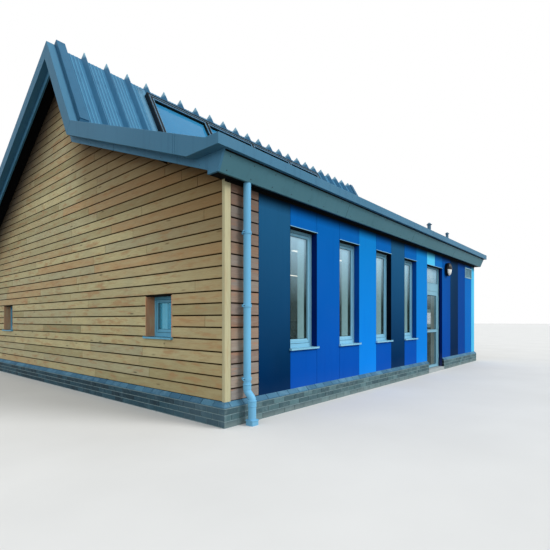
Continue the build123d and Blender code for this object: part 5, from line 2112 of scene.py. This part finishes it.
@dataclass
class RooflightTrim:
    """Casings, beads and flashings of the rooflight on the steep slope."""

    plan: Plan
    palette: Palette
    roof: RoofMetal
    panes: int = 4
    bar: float = 0.13
    mullion: float = 0.12
    rise: float = 0.085
    flash: float = 0.15
    flash_lower: float = 0.06
    flash_upper: float = 0.2
    head_share: float = 1.35
    strip_short: float = 0.06
    strip_shifts: tuple[float, float] = (-0.04, 0.01)

    def span(self) -> tuple[float, float, float, float]:
        """First and last X of the frame, and its lower and upper end along the slope."""
        roof, plan = self.roof, self.plan
        length = plan.steep_run / math.cos(math.radians(plan.steep_pitch))
        return (plan.left + roof.rooflight_from_near, plan.right - roof.rooflight_from_far,
                roof.rooflight_lower, length - roof.rooflight_upper)

    def casing(self, metal: Piece) -> None:
        """Adds the casing's raised rim and the pale line inside it."""
        left, right, low, high = self.span()
        frame = Opening(self.roof.steep_place().moved(left, low), right - left, high - low)
        top = self.rise
        rim = np.array([(0.0, top - 0.004), (0.0, top + 0.009), (0.003, top + 0.012), (0.03, top + 0.012),
                        (0.034, top + 0.008), (0.034, top - 0.004)])
        metal.add(frame.framed(rim))
        metal.add(frame.framed(oblong(0.044, 0.056, top - 0.004, top + 0.003)), slot=1)

    def beads(self, metal: Piece) -> None:
        """Adds a pale bead round each pane, with a dark wedge down to the glass as painted shade on the
        recess wall.
        """
        left, right, low, high = self.span()
        pitch, top = (right - left) / self.panes, self.rise
        bead = np.array([(-0.014, top - 0.004), (-0.014, top + 0.003), (-0.011, top + 0.006),
                         (-0.004, top + 0.006), (0.0, top + 0.002), (0.002, top - 0.012)])
        # Dark wedge down to the glass, as painted shade on the recess wall.
        wedge = np.array([(-0.001, top - 0.012), (0.004, top - 0.014), (0.012, top - 0.07),
                          (-0.001, top - 0.07)])
        for pane in range(self.panes):
            start = left + pane * pitch + (self.mullion / 2 if pane else self.bar)
            end = left + (pane + 1) * pitch - (self.mullion / 2 if pane < self.panes - 1 else self.bar)
            place = self.roof.steep_place().moved(start, low + self.bar)
            opening = Opening(place, end - start, high - low - 2 * self.bar)
            metal.add(opening.framed(bead), slot=1)
            metal.add(opening.framed(wedge), slot=2)

    def mullion_caps(self, metal: Piece) -> None:
        """Adds the two cover strips of each mullion, either side of a narrow groove."""
        left, right, low, high = self.span()
        pitch, top, slope = (right - left) / self.panes, self.rise, self.roof.steep_place().upright()
        strip = np.array([(top - 0.004, 0.0), (top + 0.006, 0.001), (top + 0.008, 0.004),
                          (top + 0.008, 0.026), (top + 0.004, 0.03), (top - 0.004, 0.03)])
        start, end = whole(low + self.strip_short), whole(high - self.strip_short)
        for bay in range(1, self.panes):
            for shift in self.strip_shifts:
                metal.add(carried(strip, start, end, slope, left + bay * pitch + shift))

    def flashings(self) -> None:
        """Pale sheets dressed onto the pans beside the frame and between it and the ridge."""
        left, right, low, high = self.span()
        piece = Piece("rooflight_flashings", self.palette.several("flashing_metal"), slot="roof_metal")
        base, wide, place = -self.roof.sheet_drop, self.flash, self.roof.steep_place()
        edge = np.array([(base - 0.002, 0.0), (base + 0.009, 0.0), (base + 0.009, wide - 0.012),
                         (base + 0.014, wide - 0.006), (base + 0.009, wide), (base - 0.002, wide)])
        start, end = whole(low - self.flash_lower), whole(high + self.flash_upper)
        for x, turned in ((left, -1.0), (right, 1.0)):
            piece.add(carried(edge * (1.0, turned), start, end, place.upright(), x))
        head = edge * (1.0, self.head_share)
        piece.add(carried(head, whole(left - wide), whole(right + wide), place, high))
        piece.finish()

    def build(self) -> None:
        """Builds the rooflight's trims."""
        materials = self.palette.several("rooflight_metal", "rooflight_trim", "rubber")
        metal = Piece("rooflight_casings", materials, slot="rooflight_metal")
        self.casing(metal)
        self.beads(metal)
        self.mullion_caps(metal)
        metal.finish()
        self.flashings()


@dataclass
class RoofEdges:
    """Verge boxes and eaves trims in jointed lengths, with fixings, and dark strips painted as shadow."""

    plan: Plan
    palette: Palette
    joint: float = 0.004
    edge: float = 0.003
    longest: float = 3.0
    board_face: float = 0.225
    fixing_pitch: float = 0.4
    fixing_rows: Pair = (0.04, 0.2)
    fixing_drop: float = 0.035
    first_fixing: float = -4.45
    cant_top: float = 0.05
    cant_bottom: float = 0.15
    cant_face: float = 0.23
    strap: float = 0.02
    front_strap: float = -4.11
    rear_strap: float = 2.6
    front_joints: Pair = (-4.01, -2.4)
    rear_joints: Pair = (0.9, 2.9)
    packing: float = 0.006
    recess_back: float = 0.15

    def box_rows(self) -> list[tuple[Floats, Floats, tuple[float, ...]]]:
        """The low, the steep and the rear verge box.

        Returns:
            Upper and lower row of (y, z) points of each box, and y of its joints.
        """
        plan, gap, strap = self.plan, self.joint / 2, self.strap
        low, steep, back = plan.low(), plan.steep(), plan.back()
        low_foot, steep_foot, back_foot = (plan.low(plan.low_box_depth), plan.steep(plan.high_box_depth),
                                           plan.back(plan.high_box_depth))
        front, rear = plan.front - plan.eaves_over, plan.rear + plan.eaves_over
        top, foot = plan.eaves_top, plan.eaves_top - plan.eaves_trim
        kinks = (low.crossing(steep), low_foot.crossing(steep_foot))
        ridges = (steep.crossing(back), steep_foot.crossing(back_foot))
        rows = (
            ([(front, top), (front + plan.eaves_flat, top), low.beyond(kinks[0], -gap)],
             [(front, foot), (low_foot.where(foot), foot), low.beyond(kinks[1], -gap)],
             (self.front_strap - strap, self.front_strap + strap)),
            ([steep.beyond(kinks[0], gap), steep.beyond(ridges[0], -gap)],
             [steep.beyond(kinks[1], gap), steep.beyond(ridges[1], -gap)], ()),
            ([back.beyond(ridges[0], gap), (rear, top)],
             [back.beyond(ridges[1], gap), (back_foot.where(foot), foot), (rear, foot)],
             (self.rear_strap - strap, self.rear_strap + strap)))
        return [(np.array(upper), np.array(lower), cuts) for upper, lower, cuts in rows]

    def boxes(self) -> None:
        """Verge boxes of both gables, parted at their joints, with a dark packing behind each joint."""
        plan = self.plan
        piece = Piece("jointed_verge_boxes", self.palette.several("fascia_metal", "joint_and_shade_black"),
                      slot="fascia_metal")
        outer, inner = plan.right + plan.verge_over, plan.right + self.board_face
        for side in (-1, 1):
            for top, foot, cuts in self.box_rows():
                for outline in banded(top, foot, cuts, self.joint):
                    piece.add(plate(outline, side * inner, side * outer, self.edge))
                for outline in banded(top, foot, (), 0.0):
                    packing = inset_outline(outline, self.packing)
                    piece.add(plate(packing, side * (inner + 0.002), side * (outer - self.packing), 0.002),
                              slot=1)
        piece.finish(("verge_boxes",))

    def trims(self) -> None:
        """Flat-topped eaves trims of both sides in equal lengths, with their exposed edges cut off."""
        plan, edge = self.plan, self.edge
        piece = Piece("jointed_eaves_trims", self.palette.several("fascia_metal", "joint_and_shade_black"),
                      slot="fascia_metal")
        top, foot, out = plan.eaves_top, plan.eaves_top - plan.eaves_trim, plan.eaves_over
        back, side = out - plan.eaves_flat, plan.right + self.board_face
        core = oblong(back, out - self.packing, foot + 0.004, top - self.packing)
        start, end = lengths(-side, side, self.longest, self.joint)
        rear_rise = plan.back().height(plan.rear + back) - top
        for place, rise in zip(plan.long_sides(), (0.0, rear_rise)):
            outline = np.array([(back, foot), (out - edge, foot), (out, foot + edge), (out, top - edge),
                                (out - edge, top + rise * edge / plan.eaves_flat), (back, top + rise)])
            piece.add(carried(outline, start, end, place))
            piece.add(carried(core, whole(-side + 0.01), whole(side - 0.01), place), slot=1)
        piece.finish(("eaves_trims",))

    def cant_place(self, side: Place) -> Place:
        """Frame on the canted fascia of a long side: up runs up its face from the soffit."""
        plan = self.plan
        low = side.at(0.0, plan.soffit, plan.eaves_over - self.cant_bottom)
        top = side.at(0.0, plan.eaves_top - plan.eaves_trim, plan.eaves_over - self.cant_top)
        up = (top - low) / np.linalg.norm(top - low)
        out = np.cross(np.asarray(side.along, float), up)
        return Place(tuple(low.tolist()), side.along, tuple(up.tolist()), tuple(out.tolist()))

    def shadow_lines(self) -> None:
        """Dark strips: painted shadow under the eaves trims and along the top of the walls under the soffit,
        and the cant's joints.
        """
        plan = self.plan
        piece = Piece("eaves_shadow_gaps", self.palette.several("joint_and_shade_black"), slot="soffit_metal")
        foot, side = plan.eaves_top - plan.eaves_trim, plan.right + plan.verge_over - plan.verge_box - 0.03
        face = plan.eaves_over - self.cant_top
        # Black recess under the trims, as painted shadow.
        recess = np.array([(self.recess_back, foot - 0.016), (face + 0.002, foot - 0.016),
                           (face + 0.004, foot), (self.recess_back, foot)])
        # Black strip at the top of the walls, as painted shadow under the soffit.
        vent = np.array([(0.0, plan.soffit - 0.03), (0.006, plan.soffit - 0.03), (0.014, plan.soffit - 0.012),
                         (0.014, plan.soffit), (0.0, plan.soffit)])
        cant = oblong(0.0, 0.0012, -0.0015, 0.0015)
        joints = lengths(-side, side, self.longest, self.joint)[0][1:]
        for place in plan.long_sides():
            piece.add(carried(recess, whole(-side), whole(side), place))
            piece.add(carried(vent, whole(plan.left), whole(plan.right), place))
            piece.add(carried(cant, np.zeros_like(joints), np.full_like(joints, self.cant_face),
                              self.cant_place(place).upright(), joints[:, 0]))
        piece.finish()

    def fixings(self) -> None:
        """Screws along both cants and both lower verge boards."""
        plan, pitch = self.plan, self.fixing_pitch
        piece = Piece("edge_fixings", self.palette.several("fixing"), slot="fascia_metal")
        reach = plan.right + 0.1
        along = np.arange(-reach, reach, pitch)
        rows = np.concatenate([np.column_stack([along, np.full(len(along), up)]) for up in self.fixing_rows])
        for place in plan.long_sides():
            piece.add(screws(self.cant_place(place), rows))
        drop = plan.board_bottom - self.fixing_drop
        low, back = plan.low(drop), plan.back(drop)
        front_y = np.arange(self.first_fixing, plan.kink[0] - 0.1, pitch)
        rear_y = np.arange(plan.ridge[0] + 0.6, plan.rear - 0.1, pitch)
        spots = np.concatenate([np.column_stack([front_y, low.height(front_y)]),
                                np.column_stack([rear_y, back.height(rear_y)])])
        for side in (-1, 1):
            piece.add(screws(plan.gable_place(side, self.board_face), spots))
        piece.finish()

    def board_joints(self) -> None:
        """Sealed upright joints of the lower verge boards."""
        plan = self.plan
        piece = Piece("verge_board_joints", self.palette.several("joint_and_shade_black"), slot="soffit_metal")
        outline = oblong(0.0, 0.001, -0.002, 0.002)
        for side in (-1, 1):
            face = plan.gable_place(side, self.board_face).upright()
            for joints, line in ((self.front_joints, plan.low), (self.rear_joints, plan.back)):
                for y in joints:
                    foot, top = line(plan.board_bottom).height(y), line(plan.low_box_depth).height(y)
                    piece.add(carried(outline, whole(foot), whole(top), face, y))
        piece.finish()

    def build(self) -> None:
        """Builds the roof's edges."""
        self.boxes()
        self.trims()
        self.shadow_lines()
        self.fixings()
        self.board_joints()


@dataclass
class Rainwater:
    """Round downpipes with a swan-neck over the plinth, socket collars, square shoes and bracket bolts."""

    plan: Plan
    palette: Palette
    from_corner: float = 0.3
    radius: float = 0.047
    wall_off: float = 0.082
    foot_off: float = 0.168
    bend_top: float = 0.425
    bend_foot: float = 0.31
    shoe: float = 0.058
    shoe_tall: float = 0.07
    brackets: tuple[float, ...] = (0.56, 1.47, 2.38)
    upper_socket: float = 0.5
    lower_socket: float = 0.24
    ear_thick: float = 0.024
    ear_starts: Pair = (-0.074, 0.05)
    bolt_off: float = 0.062

    def offset(self, z: Floats | float) -> Floats | float:
        """How far off the wall the pipe's middle is at height z: half a cosine wave between both runs."""
        share = np.clip((self.bend_top - z) / (self.bend_top - self.bend_foot), 0.0, 1.0)
        return self.wall_off + (self.foot_off - self.wall_off) * (0.5 - 0.5 * np.cos(math.pi * share))

    def tube(self, place: Place, segments: int = 28) -> Shell:
        """The swept pipe.

        At each height the section lies square to the middle line: the point is radius * cos(angle) along,
        and radius * sin(angle) on the direction square to the line's tangent.

        Args:
            place: Frame on the wall's face, at the pipe's middle.
            segments: Sides of the pipe.

        Returns:
            The pipe, closed at both ends.
        """
        bend = np.linspace(self.bend_top, self.bend_foot, 17)
        z = np.concatenate([[self.plan.soffit, 1.6], bend, [self.shoe_tall - 0.01]])
        slope = (self.offset(z - 1e-4) - self.offset(z + 1e-4)) / 2e-4
        size = np.hypot(1.0, slope)
        turn = np.arange(segments) * math.tau / segments
        along = np.broadcast_to(self.radius * np.cos(turn), (len(z), segments))
        reach = self.radius * np.sin(turn)[None]
        out = self.offset(z)[:, None] + reach / size[:, None]
        up = z[:, None] + reach * (slope / size)[:, None]
        points = place.at(along, up, out).reshape(-1, 3)
        caps = np.stack([np.arange(segments)[::-1], (len(z) - 1) * segments + np.arange(segments)])
        return Shell(points, (lattice_faces(len(z), segments, False, True), caps))

    def collar(self, place: Place, low: float, high: float, extra: float) -> Shell:
        """A socket round an upright part of the pipe, with a rolled lip at its top.

        Args:
            place: Frame on the wall's face, at the pipe's middle.
            low: Height of its foot.
            high: Height of its top.
            extra: How much wider than the pipe it is.

        Returns:
            The socket.
        """
        inner, outer, lip = self.radius - 0.004, self.radius + extra, 0.008
        section = np.array([(inner, low), (outer, low), (outer, high - 2 * lip),
                            (outer + 0.004, high - 1.5 * lip), (outer + 0.004, high - 0.5 * lip),
                            (outer, high), (inner, high), (inner, low)])
        axis = place.moved(0.0, 0.0, float(self.offset(low)))
        return turned_profile(section, Place(axis.origin, axis.along, axis.out, axis.up), 28)

    def build(self) -> None:
        """Builds both pipes."""
        plan = self.plan
        pipes = Piece("rainwater_pipes", self.palette.several("pipe_metal"), slot="pipe_metal")
        bolts = Piece("bracket_bolts", self.palette.several("fixing"), slot="pipe_metal")
        collars = ((self.bend_top + 0.004, self.upper_socket, 0.004),
                   (self.lower_socket, self.bend_foot - 0.004, 0.006),
                   (self.shoe_tall - 0.006, self.lower_socket, 0.003))
        spots = np.array([(x, z) for z in self.brackets for x in (-self.bolt_off, self.bolt_off)])
        ear = bevelled_bar(0.012, -0.016, 0.016, 0.002, 0.006)
        starts = np.repeat(self.ear_starts, len(self.brackets))[:, None]
        for side in plan.long_sides():
            place = side.moved(plan.left + self.from_corner, 0.0)
            pipes.add(self.tube(place))
            for low, high, extra in collars:
                pipes.add(self.collar(place, low, high, extra))
            self.foot(pipes, place)
            bolts.add(screws(place.moved(0.0, 0.0, self.wall_off + 0.006), spots, 0.009))
            face = place.moved(0.0, 0.0, self.wall_off)
            pipes.add(carried(ear, starts, starts + self.ear_thick, face, np.array(self.brackets * 2)))
        pipes.finish(("downpipes",))
        bolts.finish()

    def foot(self, pipes: Piece, place: Place) -> None:
        """Adds the square shoe and its rim."""
        stand, size, top = place.moved(0.0, 0.0, self.foot_off), 2 * self.shoe, self.shoe_tall
        floor = Place(stand.origin, place.up, place.out, place.along)
        pipes.add(carried(rounded_bar(size, size, 0.012), whole(0.0), whole(top), floor))
        rim = rounded_bar(size + 0.01, size + 0.01, 0.014)
        pipes.add(carried(rim, whole(top - 0.014), whole(top - 0.004), floor))


@dataclass
class DoorTrim:
    """Beads, gaskets and weather bar of the door leaf, and the bead and gasket of the fanlight."""

    plan: Plan
    palette: Palette
    rail_foot: float = 0.98
    rail: float = 0.072

    def face(self) -> Place:
        """Frame on the face of the door."""
        return self.plan.front_place(-self.plan.door_reveal)

    def pane(self, piece: Piece, low: Vector, high: Vector, profiles: tuple[Floats, ...]) -> None:
        """Adds mitred rings round a pane between two corners, one for each slot of the piece."""
        opening = Opening(self.face().moved(low.x, low.z), high.x - low.x, high.z - low.z)
        for slot, profile in enumerate(profiles):
            piece.add(opening.framed(profile), slot=slot)

    def leaf(self) -> None:
        """Trims that move with the leaf."""
        low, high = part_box("door_leaf")
        glass_low, glass_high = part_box("door_glass")
        piece = Piece("door_leaf_trims", self.palette.several("door_metal", "rubber"), body="front_door",
                      slot="door_metal")
        bead = np.array([(-0.012, -0.001), (-0.012, 0.003), (-0.009, 0.005), (-0.002, 0.005), (0.003, -0.009),
                         (-0.001, -0.009)])
        wedge = np.array([(-0.001, -0.008), (0.002, -0.008), (0.010, -0.013), (-0.001, -0.013)])
        for foot, head in ((glass_low.z, self.rail_foot), (self.rail_foot + self.rail, glass_high.z)):
            corners = (Vector((glass_low.x, 0, foot)), Vector((glass_high.x, 0, head)))
            self.pane(piece, *corners, (bead, wedge))
        bar = np.array([(-0.001, low.z + 0.01), (0.018, low.z + 0.012), (0.02, low.z + 0.016),
                        (0.006, low.z + 0.045), (-0.001, low.z + 0.05)])
        piece.add(carried(bar, whole(low.x + 0.03), whole(high.x - 0.05), self.face()))
        piece.finish()

    def fanlight(self) -> None:
        """Bead and gasket of the fanlight."""
        piece = Piece("fanlight_trims", self.palette.several("door_metal", "rubber"), slot="door_metal")
        bead = np.array([(-0.012, -0.001), (-0.012, 0.003), (-0.002, 0.004), (0.003, -0.02), (-0.001, -0.02)])
        wedge = np.array([(-0.001, -0.019), (0.002, -0.019), (0.010, -0.027), (-0.001, -0.027)])
        self.pane(piece, *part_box("fanlight_glass"), (bead, wedge))
        piece.finish()

    def build(self) -> None:
        """Builds the door's trims."""
        self.leaf()
        self.fanlight()


@dataclass
class Fittings:
    """Bulkhead light, and the lamps that show through the glass."""

    plan: Plan
    palette: Palette
    lamp_starts: Triple = (-4.2, -1.4, 1.4)
    lamp_rows: Pair = (-2.6, 0.6)
    lamp_length: float = 2.4
    lamp_drop: float = 0.1

    def wall_light(self) -> None:
        """Oval light: a ribbed body, an opal dome below and a hood above."""
        low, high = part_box("wall_light_body")
        width, tall = high.x - low.x, high.z - low.z
        centre = ((low.x + high.x) / 2, high.y, (low.z + high.z) / 2)
        place = Place(centre, (1, 0, 0), (0, 0, 1), (0, -1, 0))
        squash, radius = tall / width, width / 2
        body = np.array([(0.0, 0.0), (radius * 0.93, 0.0), (radius * 0.96, 0.012), (radius * 0.96, 0.050),
                         (radius, 0.054), (radius, 0.074), (radius * 0.97, 0.080), (radius * 0.9, 0.080),
                         (0.0, 0.080)])
        turn = np.linspace(0, math.pi / 2, 9)
        bowl = np.column_stack([radius * 0.9 * np.cos(turn), 0.078 + 0.062 * np.sin(turn)])
        dome = np.concatenate([bowl, [(0.0, 0.070), (radius * 0.9, 0.070)]])
        outer = np.column_stack([radius * 0.95 * np.cos(turn), 0.078 + 0.072 * np.sin(turn)])
        hood = np.concatenate([outer, [(0.0, 0.146)], bowl[::-1] + [(0.002, 0.003)]])
        shell = Piece("light_shell", self.palette.several("light_body"), slot="light_body")
        shell.add(turned_profile(body, place, 48, squash))
        shell.add(turned_profile(hood, place, 33, squash, (0.0, math.pi)))
        shell.finish(("wall_light_body",))
        lens = Piece("light_dome", self.palette.several("light_lens"), slot="light_lens")
        lens.add(turned_profile(dome, place, 33, squash, (math.pi, math.tau)))
        lens.finish(("wall_light_lens",))

    def ceiling_lamps(self) -> None:
        """Two rows of slim lamps under the roof, seen through the windows."""
        lamps = Piece("ceiling_lamps", self.palette.several("steel", "lamp_tube"), slot="steel")
        case, tube = rounded_bar(0.12, 0.05, 0.008), rounded_bar(0.09, 0.012, 0.004)
        starts = np.array(self.lamp_starts)[:, None]
        ends = starts + self.lamp_length
        for y in self.lamp_rows:
            place = Place((0.0, y, self.plan.soffit - self.lamp_drop), (1, 0, 0), (0, 0, 1), (0, 1, 0))
            lamps.add(carried(case, starts, ends, place))
            lamps.add(carried(tube, starts + 0.02, ends - 0.02, place, -0.031), slot=1)
        lamps.finish()

    def build(self) -> None:
        """Builds the fittings."""
        self.wall_light()
        self.ceiling_lamps()


@dataclass(frozen=True)
class Studio:
    """Camera at the photograph's viewpoint, a pale floor and soft light."""

    eye: Triple = (-8.619, -8.297, 1.291)
    heading: float = 40.74
    lens: float = 26.64
    shift: float = 0.0819
    ambient: float = 0.8
    key: Triple = (-0.35, 0.75, -0.55)
    key_strength: float = 2.0
    fill: Triple = (0.9, 0.3, -0.35)
    fill_strength: float = 0.6
    floor_reach: float = 160.0

    def camera(self) -> None:
        """A level camera, turned about Z from +X towards +Y by the heading."""
        data = bpy.data.cameras.new("camera")
        data.lens, data.shift_y, data.sensor_width = self.lens, self.shift, 36.0
        data.clip_end = 500.0
        made = linked("camera", data)
        made.location = self.eye
        made.rotation_euler = (math.pi / 2, 0.0, math.radians(self.heading - 90.0))
        bpy.context.scene.camera = made

    def floor(self) -> None:
        """A wide pale floor, faintly mottled, that takes the building's shadow and throws little light."""
        material, graph, surface = start_material("floor")
        mottle = graph.spread(graph.noise(graph.place(), 0.8, 3.0), 0.3, 0.7)
        pale = graph.mix(mottle, linear("DEDEDC"), linear("D9D9D7"))
        colour = graph.mix(self.seen(graph), linear("84847F"), pale)
        graph.fill(surface, {"Base Color": colour, "Roughness": 0.9, "Specular IOR Level": 0.1})
        reach = self.floor_reach
        mesh = bpy.data.meshes.new("floor")
        mesh.from_pydata([(-reach, -reach, 0), (reach, -reach, 0), (reach, reach, 0), (-reach, reach, 0)], [],
                         [(0, 1, 2, 3)])
        mesh.materials.append(material)
        made = linked("floor", mesh)

    def seen(self, graph: Graph) -> bpy.types.NodeSocket:
        """1 where the camera, gloss or glass looks, and 0 for the light that surfaces throw on each other."""
        path = graph.add("ShaderNodeLightPath")
        direct = graph.math("ADD", path.outputs["Is Camera Ray"], path.outputs["Is Glossy Ray"])
        return graph.math("ADD", direct, path.outputs["Is Transmission Ray"], True)

    def sky(self) -> None:
        """World light: plain ambient for the surfaces, white where the camera, gloss or glass looks at it."""
        world = bpy.data.worlds.new("studio")
        bpy.context.scene.world = world
        world.use_nodes = True
        world.node_tree.nodes.clear()
        graph = Graph(world.node_tree)
        soft = graph.add("ShaderNodeBackground", {"Color": (0.94, 0.97, 1.0, 1.0), "Strength": self.ambient})
        white = graph.add("ShaderNodeBackground", {"Color": (1.0, 1.0, 1.0, 1.0), "Strength": 1.0})
        sides = {0: self.seen(graph), 1: soft.outputs[0], 2: white.outputs[0]}
        mixed = graph.add("ShaderNodeMixShader", sides)
        graph.add("ShaderNodeOutputWorld", {"Surface": mixed.outputs[0]})

    def sun(self, name: str, towards: Triple, strength: float, spread: float) -> None:
        """Adds a soft distant lamp.

        Args:
            name: Its name.
            towards: Direction in which it shines.
            strength: Its strength.
            spread: Its angle in degrees.
        """
        data = bpy.data.lights.new(name, "SUN")
        data.energy, data.angle = strength, math.radians(spread)
        made = linked(name, data)
        made.rotation_euler = Vector(towards).to_track_quat("-Z", "Y").to_euler()

    def build(self) -> None:
        """Sets up the whole studio."""
        self.camera()
        self.floor()
        self.sky()
        self.sun("key", self.key, self.key_strength, 25.0)
        self.sun("fill", self.fill, self.fill_strength, 40.0)
        bpy.context.scene.view_settings.view_transform = "Standard"


def main() -> None:
    """Builds the looks in order."""
    logging.basicConfig(level=logging.INFO, format="%(message)s")
    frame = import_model()
    plan = Plan.from_frame()
    palette = Palette(plan)
    palette.build()
    dress_nodes(frame, palette)
    roof = RoofMetal(plan, palette)
    for part in (BoardCladding(plan, palette), BrickPlinth(plan, palette), WindowSet(plan, palette), roof,
                 RooflightTrim(plan, palette, roof), RoofEdges(plan, palette), Rainwater(plan, palette),
                 DoorTrim(plan, palette), Fittings(plan, palette)):
        part.build()
    Studio().build()


if __name__ == "__main__":
    main()
